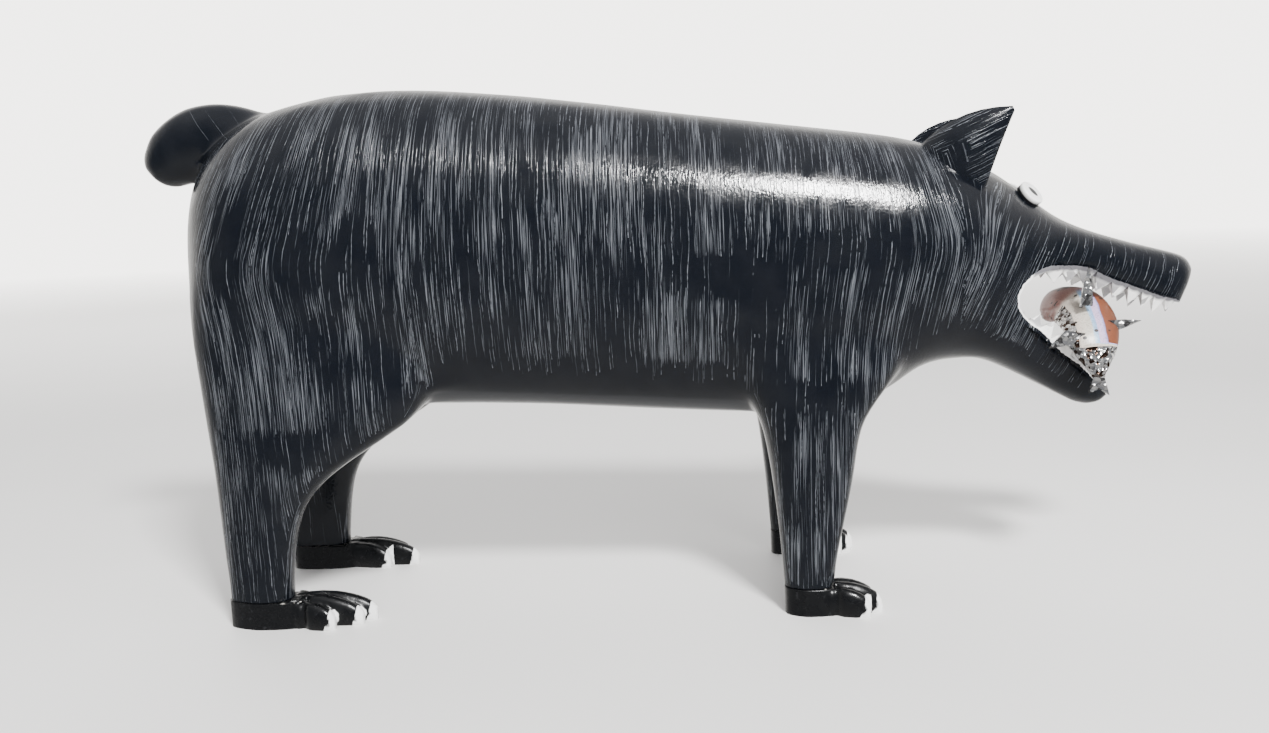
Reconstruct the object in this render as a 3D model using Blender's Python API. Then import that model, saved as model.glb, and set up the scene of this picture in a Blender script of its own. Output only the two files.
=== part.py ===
"""Carved and painted wooden bear with open jaws and a small fish held crosswise in them.

Metres, +Z up, +X towards the snout, the origin on the ground under the middle of the bear.
The bear's right side is -Y. Run with blender --background --python part.py.
"""
import math

import bmesh
import bpy
from mathutils import Matrix, Vector

# The bear's three driving dimensions
BEAR_LENGTH = 0.453
BACK_HEIGHT = 0.2245
BARREL_WIDTH = 0.101

# The form's tables count the length in 453 parts, the height in 224.5 and the width in 101,
# so that on the real bear one part is a millimetre
LENGTH_PARTS = 453.0
HEIGHT_PARTS = 224.5
WIDTH_PARTS = 101.0

# Sizes that can be set by themselves
FOOT_HEIGHT = 0.0112
GLUE_GAP = 0.0003
FOOT_LEDGE = 0.0008
TOE_WIDTH = 0.0078
EYE_DIAMETER = 0.0114
EYE_STAND = 0.0012
EYE_SINK = 0.0026
EYE_ROUNDING = 0.0005
TOOTH_DEPTH = 0.0050
TOOTH_ROOT = 0.0022
UPPER_TOOTH_HEIGHT = 0.0058
LOWER_TOOTH_HEIGHT = 0.0066
CANINE_HEIGHT = 0.0092
EAR_THICKNESS = 0.0110
EAR_CUP = 0.0032
FISH_THICKNESS = 0.0100
FIN_THICKNESS = 0.0009

# How fine the carved skin is made
SKIN_VOXEL = 0.0026
SKIN_TRIANGLES = 4900
FOOT_VOXEL = 0.0009
FOOT_TRIANGLES = 420
RING_POINTS = 36

# Trunk, neck and upper jaw: place along the length, underside, top, half width, squareness and
# how far the top stands ahead of the middle
TRUNK = (
    (-205.8, 104, 168, 9, 2.6, 0),
    (-204.6, 100, 176, 16, 2.6, 0),
    (-202.4, 97, 184, 23, 2.6, 0),
    (-199.6, 94, 190, 29, 2.6, 0),
    (-195.6, 92, 197, 35.5, 2.6, 0),
    (-190.0, 90, 203, 41.5, 2.6, 0),
    (-182.0, 89, 209, 46, 2.6, 0),
    (-170.0, 88, 216, 49.4, 2.55, 0),
    (-155.0, 87.5, 220.6, 50.5, 2.5, 0),
    (-140.0, 87.5, 223.2, 50.5, 2.5, 0),
    (-122.0, 87.5, 224.5, 50.5, 2.5, 0),
    (-98.0, 87, 224, 50.5, 2.5, 0),
    (-60.0, 85.5, 220, 50.5, 2.5, 0),
    (-20.0, 82.5, 214, 50.5, 2.5, 0),
    (20.0, 79.5, 207.5, 50.5, 2.5, 0),
    (50.0, 78, 203, 50.5, 2.5, 0),
    (75.0, 79, 199.3, 50, 2.45, 0),
    (92.0, 84, 196.8, 49.5, 2.4, 0),
    (104.0, 93, 194.6, 48.5, 2.35, 0),
    (114.0, 97.5, 191.6, 47, 2.3, 0),
    (124.0, 98.5, 187.6, 43.5, 2.25, 0),
    (134.0, 99, 183.2, 39, 2.2, 0),
    (143.0, 101, 178.0, 34.5, 2.2, 0),
    (151.0, 106, 172.4, 30.5, 2.2, 0),
    (158.0, 113, 166.6, 27, 2.2, 0),
    (164.0, 120, 161.6, 24, 2.25, 0),
    (170.0, 125, 157.4, 21.5, 2.3, 0),
    (177.0, 127, 154.0, 19.5, 2.4, 0),
    (185.0, 126, 150.8, 18.2, 2.4, 0),
    (195.0, 121.5, 147.8, 17.2, 2.4, 0),
    (205.0, 118, 144.8, 16.4, 2.4, 0.4),
    (213.0, 115.4, 142.6, 15.6, 2.4, 1.4),
    (218.6, 114.6, 141.0, 14.6, 2.4, 2.6),
    (221.6, 116.4, 139.6, 13.0, 2.3, 3.0),
    (223.6, 119.6, 137.6, 10.4, 2.2, 2.8),
    (224.6, 123.4, 134.8, 7.0, 2.1, 2.0),
)

# Lower jaw: top edge and underside, each as length and height, then half width
LOWER_JAW = (
    ((140.0, 138.0), (122.0, 104.0), 35.0),
    ((152.0, 130.0), (138.0, 98.0), 31.0),
    ((160.0, 121.5), (147.5, 94.0), 26.0),
    ((167.5, 112.5), (156.0, 89.0), 21.5),
    ((175.5, 103.5), (164.5, 84.0), 18.4),
    ((183.0, 95.5), (173.0, 78.8), 16.2),
    ((188.6, 90.2), (181.2, 75.4), 14.4),
    ((191.0, 86.4), (186.6, 75.8), 11.6),
    ((192.0, 84.0), (189.6, 78.2), 7.4),
)

# The mouth is sawn straight through from side to side along this outline
MOUTH = (
    (260.0, 112.0), (216.7, 120.3), (209.1, 121.6), (202.1, 124.2), (196.1, 126.4), (187.2, 129.6),
    (181.2, 132.6), (177.2, 134.8), (172.2, 135.8), (166.1, 136.4), (158.5, 136.4), (152.6, 134.4),
    (148.4, 131.4), (146.2, 127.0), (146.6, 122.4), (149.0, 118.6), (152.4, 115.2), (157.8, 111.6),
    (162.1, 107.2), (166.4, 102.9), (171.2, 99.4), (175.8, 96.2), (180.0, 91.8), (184.6, 87.2),
    (198.0, 72.0), (260.0, 60.0),
)
MOUTH_HALF_WIDTH = 45.0

# Hind leg from inside the rump down to the ankle: height, rear, front, inner and outer side
HIND_LEG = (
    (140, -200, -120, 16, 46),
    (120, -199, -104, 15, 49),
    (104, -197.5, -98, 14, 50.6),
    (92, -196, -101, 15, 51.2),
    (84, -195, -108, 17, 51.4),
    (78, -194, -118, 19.5, 51.4),
    (72, -193, -128, 22.5, 51.2),
    (66, -192.3, -137.5, 25.5, 51),
    (60, -191.6, -145, 28, 50.8),
    (54, -191, -151, 29.8, 50.6),
    (47, -190.5, -155, 31.2, 50.4),
    (38, -190.2, -157.4, 32.4, 50.2),
    (28, -189.8, -159, 33.2, 50),
    (18, -189.3, -160.2, 34, 49.8),
    (8, -188.8, -161, 34.2, 49.6),
)

# Front leg from inside the chest down to the ankle, in the same columns
FRONT_LEG = (
    (125, 26, 92, 16, 45),
    (110, 28, 98, 16, 48.5),
    (98, 31, 96, 16, 50),
    (90, 34, 89, 17.5, 50.4),
    (84, 37, 84.5, 19.5, 50.6),
    (78, 39.4, 80.8, 22, 50.6),
    (70, 41, 78.8, 25, 50.6),
    (60, 42.4, 77.2, 28.5, 50.6),
    (50, 43.4, 75.4, 31.5, 50.6),
    (40, 44.4, 72.8, 34, 50.4),
    (28, 45.2, 70, 36, 50.2),
    (18, 46, 68, 37, 50),
    (8, 46.8, 66.6, 37.4, 49.8),
)
LEG_SQUARENESS = 3.2
# How far the outer rear corner of each leg and heel is carved back
HIND_CORNER = 11.0
FRONT_CORNER = 6.0

# Tail: place along the length, height, half thickness and half width
TAIL = (
    (-168.0, 199.0, 13.0, 11.0),
    (-178.0, 206.5, 13.0, 11.5),
    (-189.0, 209.5, 13.6, 12.5),
    (-199.0, 208.5, 14.4, 13.5),
    (-207.5, 204.5, 14.4, 14.0),
    (-214.0, 199.0, 13.4, 13.5),
    (-219.0, 193.5, 10.6, 11.6),
    (-222.0, 190.2, 6.0, 7.5),
)

# Ear: foot, bulge and tip of its rear edge and of its front edge, as length, side and height
EAR_REAR = ((108.0, 20.0, 189.0), (121.5, 26.0, 204.6), (143.4, 31.0, 203.4))
EAR_FRONT = ((131.5, 30.5, 168.0), (138.0, 31.5, 188.0), (144.2, 31.0, 201.6))

# Eye: the middle of the disc on the forehead's side, and the way it looks
EYE_PLACE = (155.4, 15.4, 168.6)
EYE_LOOK = (0.58, 0.53, 0.62)

# Foot blocks: where the toes part from the heel, then the toes from the outer one inwards, each
# as how far its tip stands ahead of that notch, and its side
TOE_SPREAD = 0.55
TOE_ROOT = 6.0
FOOT_TRIM = 0.001
HIND_NOTCH = -157.5
FRONT_NOTCH = 66.4
HIND_TOES = ((16.6, 51.0), (27.0, 45.4), (31.4, 39.4), (18.6, 35.6))
FRONT_TOES = ((14.6, 50.6), (20.2, 45.6), (18.6, 40.6), (13.4, 37.4))

# A toe's rings: share of its length, of the foot's height and of its width
TOE_ARCH = (
    (0.0, 1.12, 0.84),
    (0.3, 1.16, 0.96),
    (0.55, 1.10, 1.06),
    (0.78, 0.92, 1.00),
    (0.92, 0.72, 0.84),
    (1.0, 0.46, 0.56),
)

# Teeth along each jaw's edge: how far along the mouth's edge, width, share of the full height
UPPER_TEETH = (
    (162.5, 6.8, 0.90), (169.8, 6.4, 1.00), (177.0, 6.2, 0.85), (184.0, 6.0, 0.90), (190.8, 5.8, 0.95),
    (197.4, 5.2, 1.00), (203.0, 4.6, 0.90), (207.8, 4.2, 1.05), (212.4, 3.8, 0.80),
)
LOWER_TEETH = (
    (153.4, 6.2, 0.75), (158.6, 6.2, 0.95), (163.6, 6.2, 0.90), (168.4, 6.0, 1.00), (172.8, 5.6, 0.85),
)
CANINES = ((177.6, 6.6, 1.0),)
TOOTH_INSET = 2.6

# The fish's back bone from the head in the far side of the mouth to the tail hanging on the near
# side: length, side, height, half height of the body and share of the full thickness
FISH = (
    (183.4, 44.0, 111.6, 1.6, 0.30),
    (182.6, 41.5, 112.6, 3.8, 0.60),
    (180.6, 35.0, 114.6, 6.2, 0.88),
    (177.0, 25.0, 116.8, 7.4, 1.00),
    (173.0, 13.0, 118.6, 7.6, 1.00),
    (174.0, 3.0, 119.8, 8.8, 1.00),
    (176.6, -8.0, 118.8, 10.6, 1.00),
    (177.8, -18.0, 114.4, 11.4, 1.00),
    (177.6, -25.0, 108.0, 10.8, 0.92),
    (177.8, -28.8, 101.4, 8.2, 0.74),
    (178.0, -30.6, 96.0, 4.6, 0.52),
    (178.0, -31.4, 92.4, 2.4, 0.36),
)
# Directions of the fish's back along the same stations, turned from upright to forward
FISH_BACK_TURN = (10, 12, 16, 20, 26, 38, 58, 78, 88, 92, 94, 94)

# Fins as flat foil outlines, in length and height, with the side they stand at
FIN_OUTLINES = {
    "fish_fin_back": (
        -24.6, ((183.5, 115.0), (190.6, 115.2), (197.4, 114.6), (190.4, 111.6), (183.5, 109.5)),
    ),
    "fish_fin_side": (
        -22.6, ((175.0, 112.5), (177.0, 129.0), (179.2, 137.8), (180.4, 129.0), (181.0, 112.5)),
    ),
    "fish_fin_belly": (
        -28.4, ((173.5, 110.5), (165.4, 112.0), (158.4, 104.6), (165.6, 105.6), (173.5, 103.0)),
    ),
    "fish_fin_tail": (
        -31.4, ((176.6, 95.5), (179.6, 95.5), (182.6, 84.8), (178.2, 87.6), (174.2, 86.0)),
    ),
}


def place(along, side, height):
    """A point of the form's tables as a place in metres."""
    return Vector((
        along * BEAR_LENGTH / LENGTH_PARTS,
        side * BARREL_WIDTH / WIDTH_PARTS,
        height * BACK_HEIGHT / HEIGHT_PARTS,
    ))


def superellipse(turn, squareness):
    """The unit superellipse's point at a turn in radians."""
    c, s = math.cos(turn), math.sin(turn)
    power = 2.0 / squareness
    return math.copysign(abs(c) ** power, c), math.copysign(abs(s) ** power, s)


def ring(centre, across, up, squareness, count=RING_POINTS):
    """A closed ring about centre with the half axes across and up."""
    points = []
    for i in range(count):
        u, v = superellipse(2.0 * math.pi * i / count, squareness)
        points.append(centre + across * u + up * v)
    return points


def smooth_rows(rows, pieces):
    """The table's rows with more rows between them, on a smooth curve through each column."""
    made = []
    last = len(rows) - 1
    for i in range(last):
        before, here = rows[max(i - 1, 0)], rows[i]
        after, beyond = rows[i + 1], rows[min(i + 2, last)]
        for k in range(pieces):
            t = k / pieces
            row = []
            for a, b, c, d in zip(before, here, after, beyond):
                bend = (2 * a - 5 * b + 4 * c - d) * t + (3 * b - a - 3 * c + d) * t * t
                row.append(b + 0.5 * t * (c - a + bend))
            made.append(row)
    made.append(list(rows[last]))
    return made


def loft(rings):
    """A closed skin over a run of rings of equal count, flat at both ends."""
    bm = bmesh.new()
    rows = [[bm.verts.new(point) for point in points] for points in rings]
    count = len(rows[0])
    for low, high in zip(rows, rows[1:]):
        for i in range(count):
            j = (i + 1) % count
            bm.faces.new((low[i], low[j], high[j], high[i]))
    bm.faces.new(list(reversed(rows[0])))
    bm.faces.new(rows[-1])
    bmesh.ops.recalc_face_normals(bm, faces=bm.faces)
    return bm


def as_object(bm, name, material=None):
    """A linked object from a bmesh, which is freed."""
    mesh = bpy.data.meshes.new(name)
    bm.to_mesh(mesh)
    bm.free()
    piece = bpy.data.objects.new(name, mesh)
    bpy.context.collection.objects.link(piece)
    if material is not None:
        mesh.materials.append(material)
    return piece


def joined(parts):
    """One bmesh that holds several closed bodies, which are freed."""
    whole = bmesh.new()
    for part in parts:
        mesh = bpy.data.meshes.new("part")
        part.to_mesh(mesh)
        part.free()
        whole.from_mesh(mesh)
        bpy.data.meshes.remove(mesh)
    return whole


def evaluated(piece):
    """The piece's mesh with its modifiers applied, as a bmesh; the piece is removed."""
    graph = bpy.context.evaluated_depsgraph_get()
    bm = bmesh.new()
    bm.from_object(piece, graph)
    mesh = piece.data
    bpy.data.objects.remove(piece)
    bpy.data.meshes.remove(mesh)
    return bm


def combined(bm, operation, others):
    """Cut other closed bodies from a body, or join them to it, one after another."""
    piece = as_object(bm, "base")
    cutters = [as_object(other, "tool") for other in others]
    for cutter in cutters:
        step = piece.modifiers.new("step", "BOOLEAN")
        step.operation = operation
        step.solver = "EXACT"
        step.object = cutter
    result = evaluated(piece)
    for cutter in cutters:
        mesh = cutter.data
        bpy.data.objects.remove(cutter)
        bpy.data.meshes.remove(mesh)
    return result


def carved(bm, voxel, triangles, smoothing, name="carved"):
    """Melt overlapping bodies into one smooth skin of about so many triangles."""
    piece = as_object(bm, name)
    melt = piece.modifiers.new("melt", "REMESH")
    melt.mode = "VOXEL"
    melt.voxel_size = voxel
    soften = piece.modifiers.new("soften", "SMOOTH")
    soften.factor = 0.5
    soften.iterations = smoothing
    skin = evaluated(piece)
    bmesh.ops.triangulate(skin, faces=skin.faces)
    piece = as_object(skin, name)
    thin = piece.modifiers.new("thin", "DECIMATE")
    thin.ratio = min(1.0, triangles / len(piece.data.polygons))
    return evaluated(piece)


def finish(name, colour, roughness, metallic=0.0):
    """A Principled material."""
    made = bpy.data.materials.new(name)
    made.use_nodes = True
    shader = made.node_tree.nodes["Principled BSDF"]
    shader.inputs["Base Color"].default_value = (*colour, 1.0)
    shader.inputs["Roughness"].default_value = roughness
    shader.inputs["Metallic"].default_value = metallic
    return made


def trunk():
    """Barrel, neck, head and upper jaw."""
    rings = []
    for along, low, high, half, squareness, lead in smooth_rows(TRUNK, 2):
        centre = place(along, 0.0, (low + high) / 2)
        rings.append(ring(centre, place(0, half, 0), place(lead, 0, (high - low) / 2), squareness))
    return loft(rings)


def lower_jaw():
    """The lower jaw, hanging forward and down from the throat."""
    rings = []
    for (top_x, top_z), (low_x, low_z), half in LOWER_JAW:
        top, low = place(top_x, 0, top_z), place(low_x, 0, low_z)
        rings.append(ring((top + low) / 2, place(0, half, 0), (top - low) / 2, 2.4))
    return loft(rings)


def post_ring(centre, along, across, squareness, corner, count):
    """A ring of an upright post whose outer rear corner is carved back by corner."""
    points = ring(centre, along, across, squareness, count)
    for i, point in enumerate(points):
        u, v = superellipse(2.0 * math.pi * i / count, squareness)
        point += along.normalized() * corner * max(0.0, v) ** 2 * max(0.0, -u)
    return points


def leg(table, corner, hand):
    """One leg, a post with rounded corners that widens into the body."""
    rings = []
    carve = place(corner, 0, 0).x
    for height, rear, front, inner, outer in smooth_rows(table, 2):
        centre = place((rear + front) / 2, hand * (inner + outer) / 2, height)
        along = place((front - rear) / 2, 0, 0)
        across = place(0, hand * (outer - inner) / 2, 0)
        rings.append(post_ring(centre, along, across, LEG_SQUARENESS, carve, 28))
    return loft(rings)


def tail():
    """The club-shaped tail at the top of the rump."""
    rings = []
    rows = smooth_rows(TAIL, 2)
    for i, (along, height, thick, half) in enumerate(rows):
        before, after = rows[max(i - 1, 0)], rows[min(i + 1, len(rows) - 1)]
        way = (place(after[0], 0, after[1]) - place(before[0], 0, before[1])).normalized()
        up = way.cross(Vector((0, 1, 0)))
        centre = place(along, 0, height)
        rings.append(ring(centre, place(0, half, 0), up * place(0, 0, thick).z, 2.1, 24))
    return loft(rings)


def bent(points, t):
    """A point of the quadratic curve that starts and ends at the outer two of three points."""
    a, b, c = points
    return a.lerp(b, t).lerp(b.lerp(c, t), t)


def ear(hand):
    """A pointed ear like half a shell, its hollow turned inward."""
    rear = [place(x, hand * y, z) for x, y, z in EAR_REAR]
    front = [place(x, hand * y, z) for x, y, z in EAR_FRONT]
    outward = (front[0] - rear[0]).cross(rear[2] - rear[0]).normalized()
    if outward.y * hand < 0:
        outward.negate()
    rings = []
    steps = 8
    count = 16
    for i in range(steps):
        t = i / (steps - 1)
        back, fore = bent(rear, t), bent(front, t)
        centre, along = (back + fore) / 2, (fore - back) / 2
        thick = EAR_THICKNESS * 0.5 * (0.14 + 0.86 * (1.0 - t))
        points = []
        for k in range(count):
            u, v = superellipse(2.0 * math.pi * k / count, 2.0)
            inside = 0.3 if v < 0 else 1.0
            cup = EAR_CUP * (1.0 - u * u) * (1.0 - t) * min(1.0, 4.0 * t)
            points.append(centre + along * u + outward * (v * thick * inside + cup))
        rings.append(points)
    return loft(rings)


def mouth_cutter():
    """The prism that opens the mouth from side to side."""
    near = [place(x, -MOUTH_HALF_WIDTH, z) for x, z in MOUTH]
    far = [place(x, MOUTH_HALF_WIDTH, z) for x, z in MOUTH]
    return loft([near, far])


def jaw_half_width(along, lower):
    """How far the jaw's edge stands from the middle at a place along the mouth."""
    if lower:
        rows = [(top[0], half) for top, _, half in LOWER_JAW]
        shift = 3.5
    else:
        rows = [(row[0], row[3]) for row in TRUNK]
        shift = 0.0
    for (x0, w0), (x1, w1) in zip(rows, rows[1:]):
        if x0 <= along + shift <= x1:
            return w0 + (w1 - w0) * (along + shift - x0) / (x1 - x0)
    return rows[-1][1]


def mouth_edge(along, lower):
    """Point and slope of the mouth's upper or lower outline at a place along it."""
    corner = min(range(len(MOUTH)), key=lambda i: MOUTH[i][0])
    run = MOUTH[corner:] if lower else tuple(reversed(MOUTH[:corner + 1]))
    for (x0, z0), (x1, z1) in zip(run, run[1:]):
        if x0 <= along <= x1:
            height = z0 + (z1 - z0) * (along - x0) / (x1 - x0)
            return height, (z1 - z0) / (x1 - x0)
    raise ValueError("no mouth edge there")


def tooth(along, width, height, lower, hand):
    """One carved pyramid tooth at the edge of a jaw, with its root in the jaw."""
    edge, slope = mouth_edge(along, lower)
    run = Vector((1.0, 0.0, slope)).normalized()
    out = Vector((-run.z, 0.0, run.x)) * (1.0 if lower else -1.0)
    side = hand * (jaw_half_width(along, lower) - TOOTH_INSET)
    base = place(along, side, edge)
    flare = (TOOTH_ROOT + height) / height
    half = place(width, 0, 0).x / 2 * flare
    deep = Vector((0, TOOTH_DEPTH / 2 * flare, 0))
    root = base - out * TOOTH_ROOT
    bm = bmesh.new()
    low = [bm.verts.new(root + run * half * u + deep * v) for u, v in ((-1, -1), (1, -1), (1, 1), (-1, 1))]
    tip = bm.verts.new(base + out * height)
    bm.faces.new(low)
    for i in range(4):
        bm.faces.new((low[i], low[(i + 1) % 4], tip))
    bmesh.ops.recalc_face_normals(bm, faces=bm.faces)
    return bm


def teeth():
    """All the teeth of both jaws, a row at each edge."""
    made = []
    for hand in (-1, 1):
        for along, width, share in UPPER_TEETH:
            made.append(tooth(along, width, UPPER_TOOTH_HEIGHT * share, False, hand))
        for along, width, share in LOWER_TEETH:
            made.append(tooth(along, width, LOWER_TOOTH_HEIGHT * share, True, hand))
        for along, width, share in CANINES:
            made.append(tooth(along, width, CANINE_HEIGHT * share, True, hand))
    return made


def bear_body(material):
    """The bear itself, one carved piece from tail to teeth."""
    parts = [trunk(), lower_jaw(), tail()]
    for hand in (-1, 1):
        parts.append(leg(HIND_LEG, HIND_CORNER, hand))
        parts.append(leg(FRONT_LEG, FRONT_CORNER, hand))
    skin = carved(joined(parts), SKIN_VOXEL, SKIN_TRIANGLES, 6)
    ankles = slab(-FOOT_HEIGHT, FOOT_HEIGHT + GLUE_GAP)
    skin = combined(skin, "DIFFERENCE", [mouth_cutter(), ankles])
    skin = combined(skin, "DIFFERENCE", [eye_disc(hand, GLUE_GAP) for hand in (-1, 1)])
    skin = combined(skin, "UNION", [ear(-1), ear(1)] + teeth())
    return tidy_piece(skin, "bear_body", material)


def tidy_piece(bm, name, material):
    """Triangles only, no slivers shorter than a hundredth of a millimetre, outward faces."""
    bmesh.ops.remove_doubles(bm, verts=bm.verts, dist=0.00001)
    bmesh.ops.dissolve_degenerate(bm, edges=bm.edges, dist=0.00001)
    bmesh.ops.triangulate(bm, faces=bm.faces)
    bmesh.ops.recalc_face_normals(bm, faces=bm.faces)
    piece = as_object(bm, name, material)
    piece.data.shade_smooth()
    piece.data.set_sharp_from_angle(angle=math.radians(35))
    return piece


def heel(ankle, notch, corner, hand):
    """The block under the ankle, a ledge wider than it, with rounded upright corners."""
    _, rear, _, inner, outer = ankle
    rings = []
    for height in (-FOOT_TRIM, FOOT_HEIGHT / 2, FOOT_HEIGHT + FOOT_TRIM):
        centre = place((rear + notch) / 2, hand * (inner + outer) / 2, 0)
        centre.z = height
        along = place((notch - rear) / 2, 0, 0)
        across = (place(0, (outer - inner) / 2, 0) + Vector((0, FOOT_LEDGE, 0))) * hand
        rings.append(post_ring(centre, along, across, LEG_SQUARENESS, place(corner, 0, 0).x, 28))
    return loft(rings)


def toe(notch, reach, side, middle, hand):
    """One toe, arched from the instep down to a blunt claw and spreading from the foot's middle."""
    rings = []
    across = Vector((0, TOE_WIDTH / 2, 0))
    root = middle + (side - middle) * TOE_SPREAD
    for t, tall, wide in TOE_ARCH:
        low, high = -FOOT_TRIM, FOOT_HEIGHT * tall
        spread = 1.0 - (1.0 - t) ** 2
        along = notch - TOE_ROOT + (reach + TOE_ROOT) * t
        centre = place(along, hand * (root + (side - root) * spread), 0)
        centre.z = (low + high) / 2
        rings.append(ring(centre, across * wide, Vector((0, 0, (high - low) / 2)), 2.7, 16))
    return loft(rings)


def slab(low, high, rear=-BEAR_LENGTH, front=BEAR_LENGTH):
    """A block wider than the bear between two heights, for sawing flat."""
    block = bmesh.new()
    bmesh.ops.create_cube(block, size=1.0)
    size = (front - rear, BARREL_WIDTH * 1.4, high - low)
    centre = Vector(((rear + front) / 2, 0.0, (low + high) / 2))
    bmesh.ops.transform(block, matrix=Matrix.LocRotScale(centre, None, size), verts=block.verts)
    return block


def foot(name, leg_table, corner, notch, toes, hand, material):
    """A foot block with four toes, flat on top under the ankle and flat on the ground."""
    ankle = leg_table[-1]
    middle = (ankle[3] + ankle[4]) / 2
    parts = [heel(ankle, notch, corner, hand)]
    for reach, side in toes:
        parts.append(toe(notch, reach, side, middle, hand))
    whole = carved(joined(parts), FOOT_VOXEL, FOOT_TRIANGLES, 2)
    rest = slab(FOOT_HEIGHT, BACK_HEIGHT, front=place(ankle[2], 0, 0).x + GLUE_GAP)
    whole = combined(whole, "DIFFERENCE", [slab(-FOOT_HEIGHT, 0.0), rest])
    return tidy_piece(whole, name, material)


def eye_disc(hand, grow):
    """A disc with a rounded rim, let into the forehead; grown by a gap it is also its seat."""
    look = Vector((EYE_LOOK[0], hand * EYE_LOOK[1], EYE_LOOK[2])).normalized()
    spot = place(EYE_PLACE[0], hand * EYE_PLACE[1], EYE_PLACE[2])
    across = look.cross(Vector((0, 0, 1))).normalized()
    up = look.cross(across)
    radius = EYE_DIAMETER / 2 + grow
    soft = EYE_ROUNDING
    profile = (
        (-EYE_SINK - grow, 0.0),
        (EYE_STAND - soft, 0.0),
        (EYE_STAND - soft * 0.3, soft * 0.3),
        (EYE_STAND, soft),
    )
    return loft([
        ring(spot + look * lift, across * (radius - inset), up * (radius - inset), 2.0, 24)
        for lift, inset in profile
    ])


def fish_frames():
    """Centre, way along, back direction and side direction at each of the fish's rings."""
    rows = []
    for (along, side, height, half, thick), turn in zip(FISH, FISH_BACK_TURN):
        rows.append((along, side, height, half, thick, turn))
    rows = smooth_rows(rows, 2)
    frames = []
    for i, (along, side, height, half, thick, turn) in enumerate(rows):
        before, after = rows[max(i - 1, 0)], rows[min(i + 1, len(rows) - 1)]
        way = (place(*after[:3]) - place(*before[:3])).normalized()
        angle = math.radians(turn)
        back = Vector((math.sin(angle), 0.0, math.cos(angle)))
        back = (back - way * back.dot(way)).normalized()
        frames.append((place(along, side, height), way, back, way.cross(back), half, thick))
    return frames


def fish_form(grow):
    """The small fish, a flat spindle bent over the jaw, grown by a gap where fins meet it."""
    rings = []
    for centre, _, back, side, half, thick in fish_frames():
        tall = back * (place(0, 0, half).z + grow)
        wide = side * (FISH_THICKNESS / 2 * thick + grow)
        rings.append(ring(centre, wide, tall, 2.0, 20))
    return loft(rings)


def fin(name, side, outline, material):
    """A flat foil fin whose root follows the fish's skin."""
    near = [place(x, side, z) - Vector((0, FIN_THICKNESS / 2, 0)) for x, z in outline]
    far = [point + Vector((0, FIN_THICKNESS, 0)) for point in near]
    blade = combined(loft([near, far]), "DIFFERENCE", [fish_form(GLUE_GAP)])
    return tidy_piece(blade, name, material)


def clear_scene():
    """Remove whatever the file holds."""
    for thing in list(bpy.data.objects):
        bpy.data.objects.remove(thing)


def main():
    clear_scene()
    black = finish("black_paint", (0.018, 0.020, 0.024), 0.28)
    white = finish("white_paint", (0.82, 0.82, 0.80), 0.35)
    trout = finish("trout_paint", (0.62, 0.40, 0.30), 0.35)
    foil = finish("crinkled_foil", (0.75, 0.74, 0.72), 0.25, 1.0)
    bear_body(black)
    for side, hand in (("right", -1), ("left", 1)):
        foot(f"foot_hind_{side}", HIND_LEG, HIND_CORNER, HIND_NOTCH, HIND_TOES, hand, black)
        foot(f"foot_front_{side}", FRONT_LEG, FRONT_CORNER, FRONT_NOTCH, FRONT_TOES, hand, black)
        tidy_piece(eye_disc(hand, 0.0), f"eye_{side}", white)
    tidy_piece(fish_form(0.0), "fish_body", trout)
    for name, (side, outline) in FIN_OUTLINES.items():
        fin(name, side, outline, foil)


main()
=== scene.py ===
"""Looks of the carved and painted wooden bear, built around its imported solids.

Lengths in the tables are millimetres in the row frame, where +X points to the snout, +Z is up and
the bear's right side is -Y. Meshes are made in metres.
"""

import logging
import math
from dataclasses import dataclass
from enum import Enum

import bmesh
import bpy
import numpy as np
from mathutils import Matrix, Vector, noise


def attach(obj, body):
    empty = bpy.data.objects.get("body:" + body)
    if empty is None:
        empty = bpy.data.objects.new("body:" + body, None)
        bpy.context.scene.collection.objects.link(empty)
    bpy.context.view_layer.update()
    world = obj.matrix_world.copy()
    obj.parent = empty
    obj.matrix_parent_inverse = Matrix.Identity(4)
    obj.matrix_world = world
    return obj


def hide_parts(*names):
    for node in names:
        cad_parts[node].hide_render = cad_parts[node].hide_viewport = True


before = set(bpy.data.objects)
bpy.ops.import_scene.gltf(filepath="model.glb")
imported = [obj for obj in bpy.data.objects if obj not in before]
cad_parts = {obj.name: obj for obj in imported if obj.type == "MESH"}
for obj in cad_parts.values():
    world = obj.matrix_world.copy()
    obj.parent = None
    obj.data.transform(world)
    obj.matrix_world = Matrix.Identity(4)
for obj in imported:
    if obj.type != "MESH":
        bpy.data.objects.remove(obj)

MM = 0.001
BODY = "root"
LOG = logging.getLogger("bear")

Row = tuple[float, ...]
Socket = bpy.types.NodeSocket


class Side(Enum):
    """The two sides of the bear, by the sign of Y."""

    RIGHT = -1
    LEFT = 1


def smooth_rows(rows: tuple[Row, ...], pieces: int) -> list[list[float]]:
    """Put more rows between a table's rows, on a smooth curve through each column.

    Args:
        rows: the table.
        pieces: how many steps each gap is cut into.

    Returns:
        The finer table.
    """
    made = []
    last = len(rows) - 1
    for i in range(last):
        before, here = rows[max(i - 1, 0)], rows[i]
        after, beyond = rows[i + 1], rows[min(i + 2, last)]
        for k in range(pieces):
            t = k / pieces
            row = []
            for a, b, c, d in zip(before, here, after, beyond):
                bend = (2 * a - 5 * b + 4 * c - d) * t + (3 * b - a - 3 * c + d) * t * t
                row.append(b + 0.5 * t * (c - a + bend))
            made.append(row)
    made.append(list(rows[last]))
    return made


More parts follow.
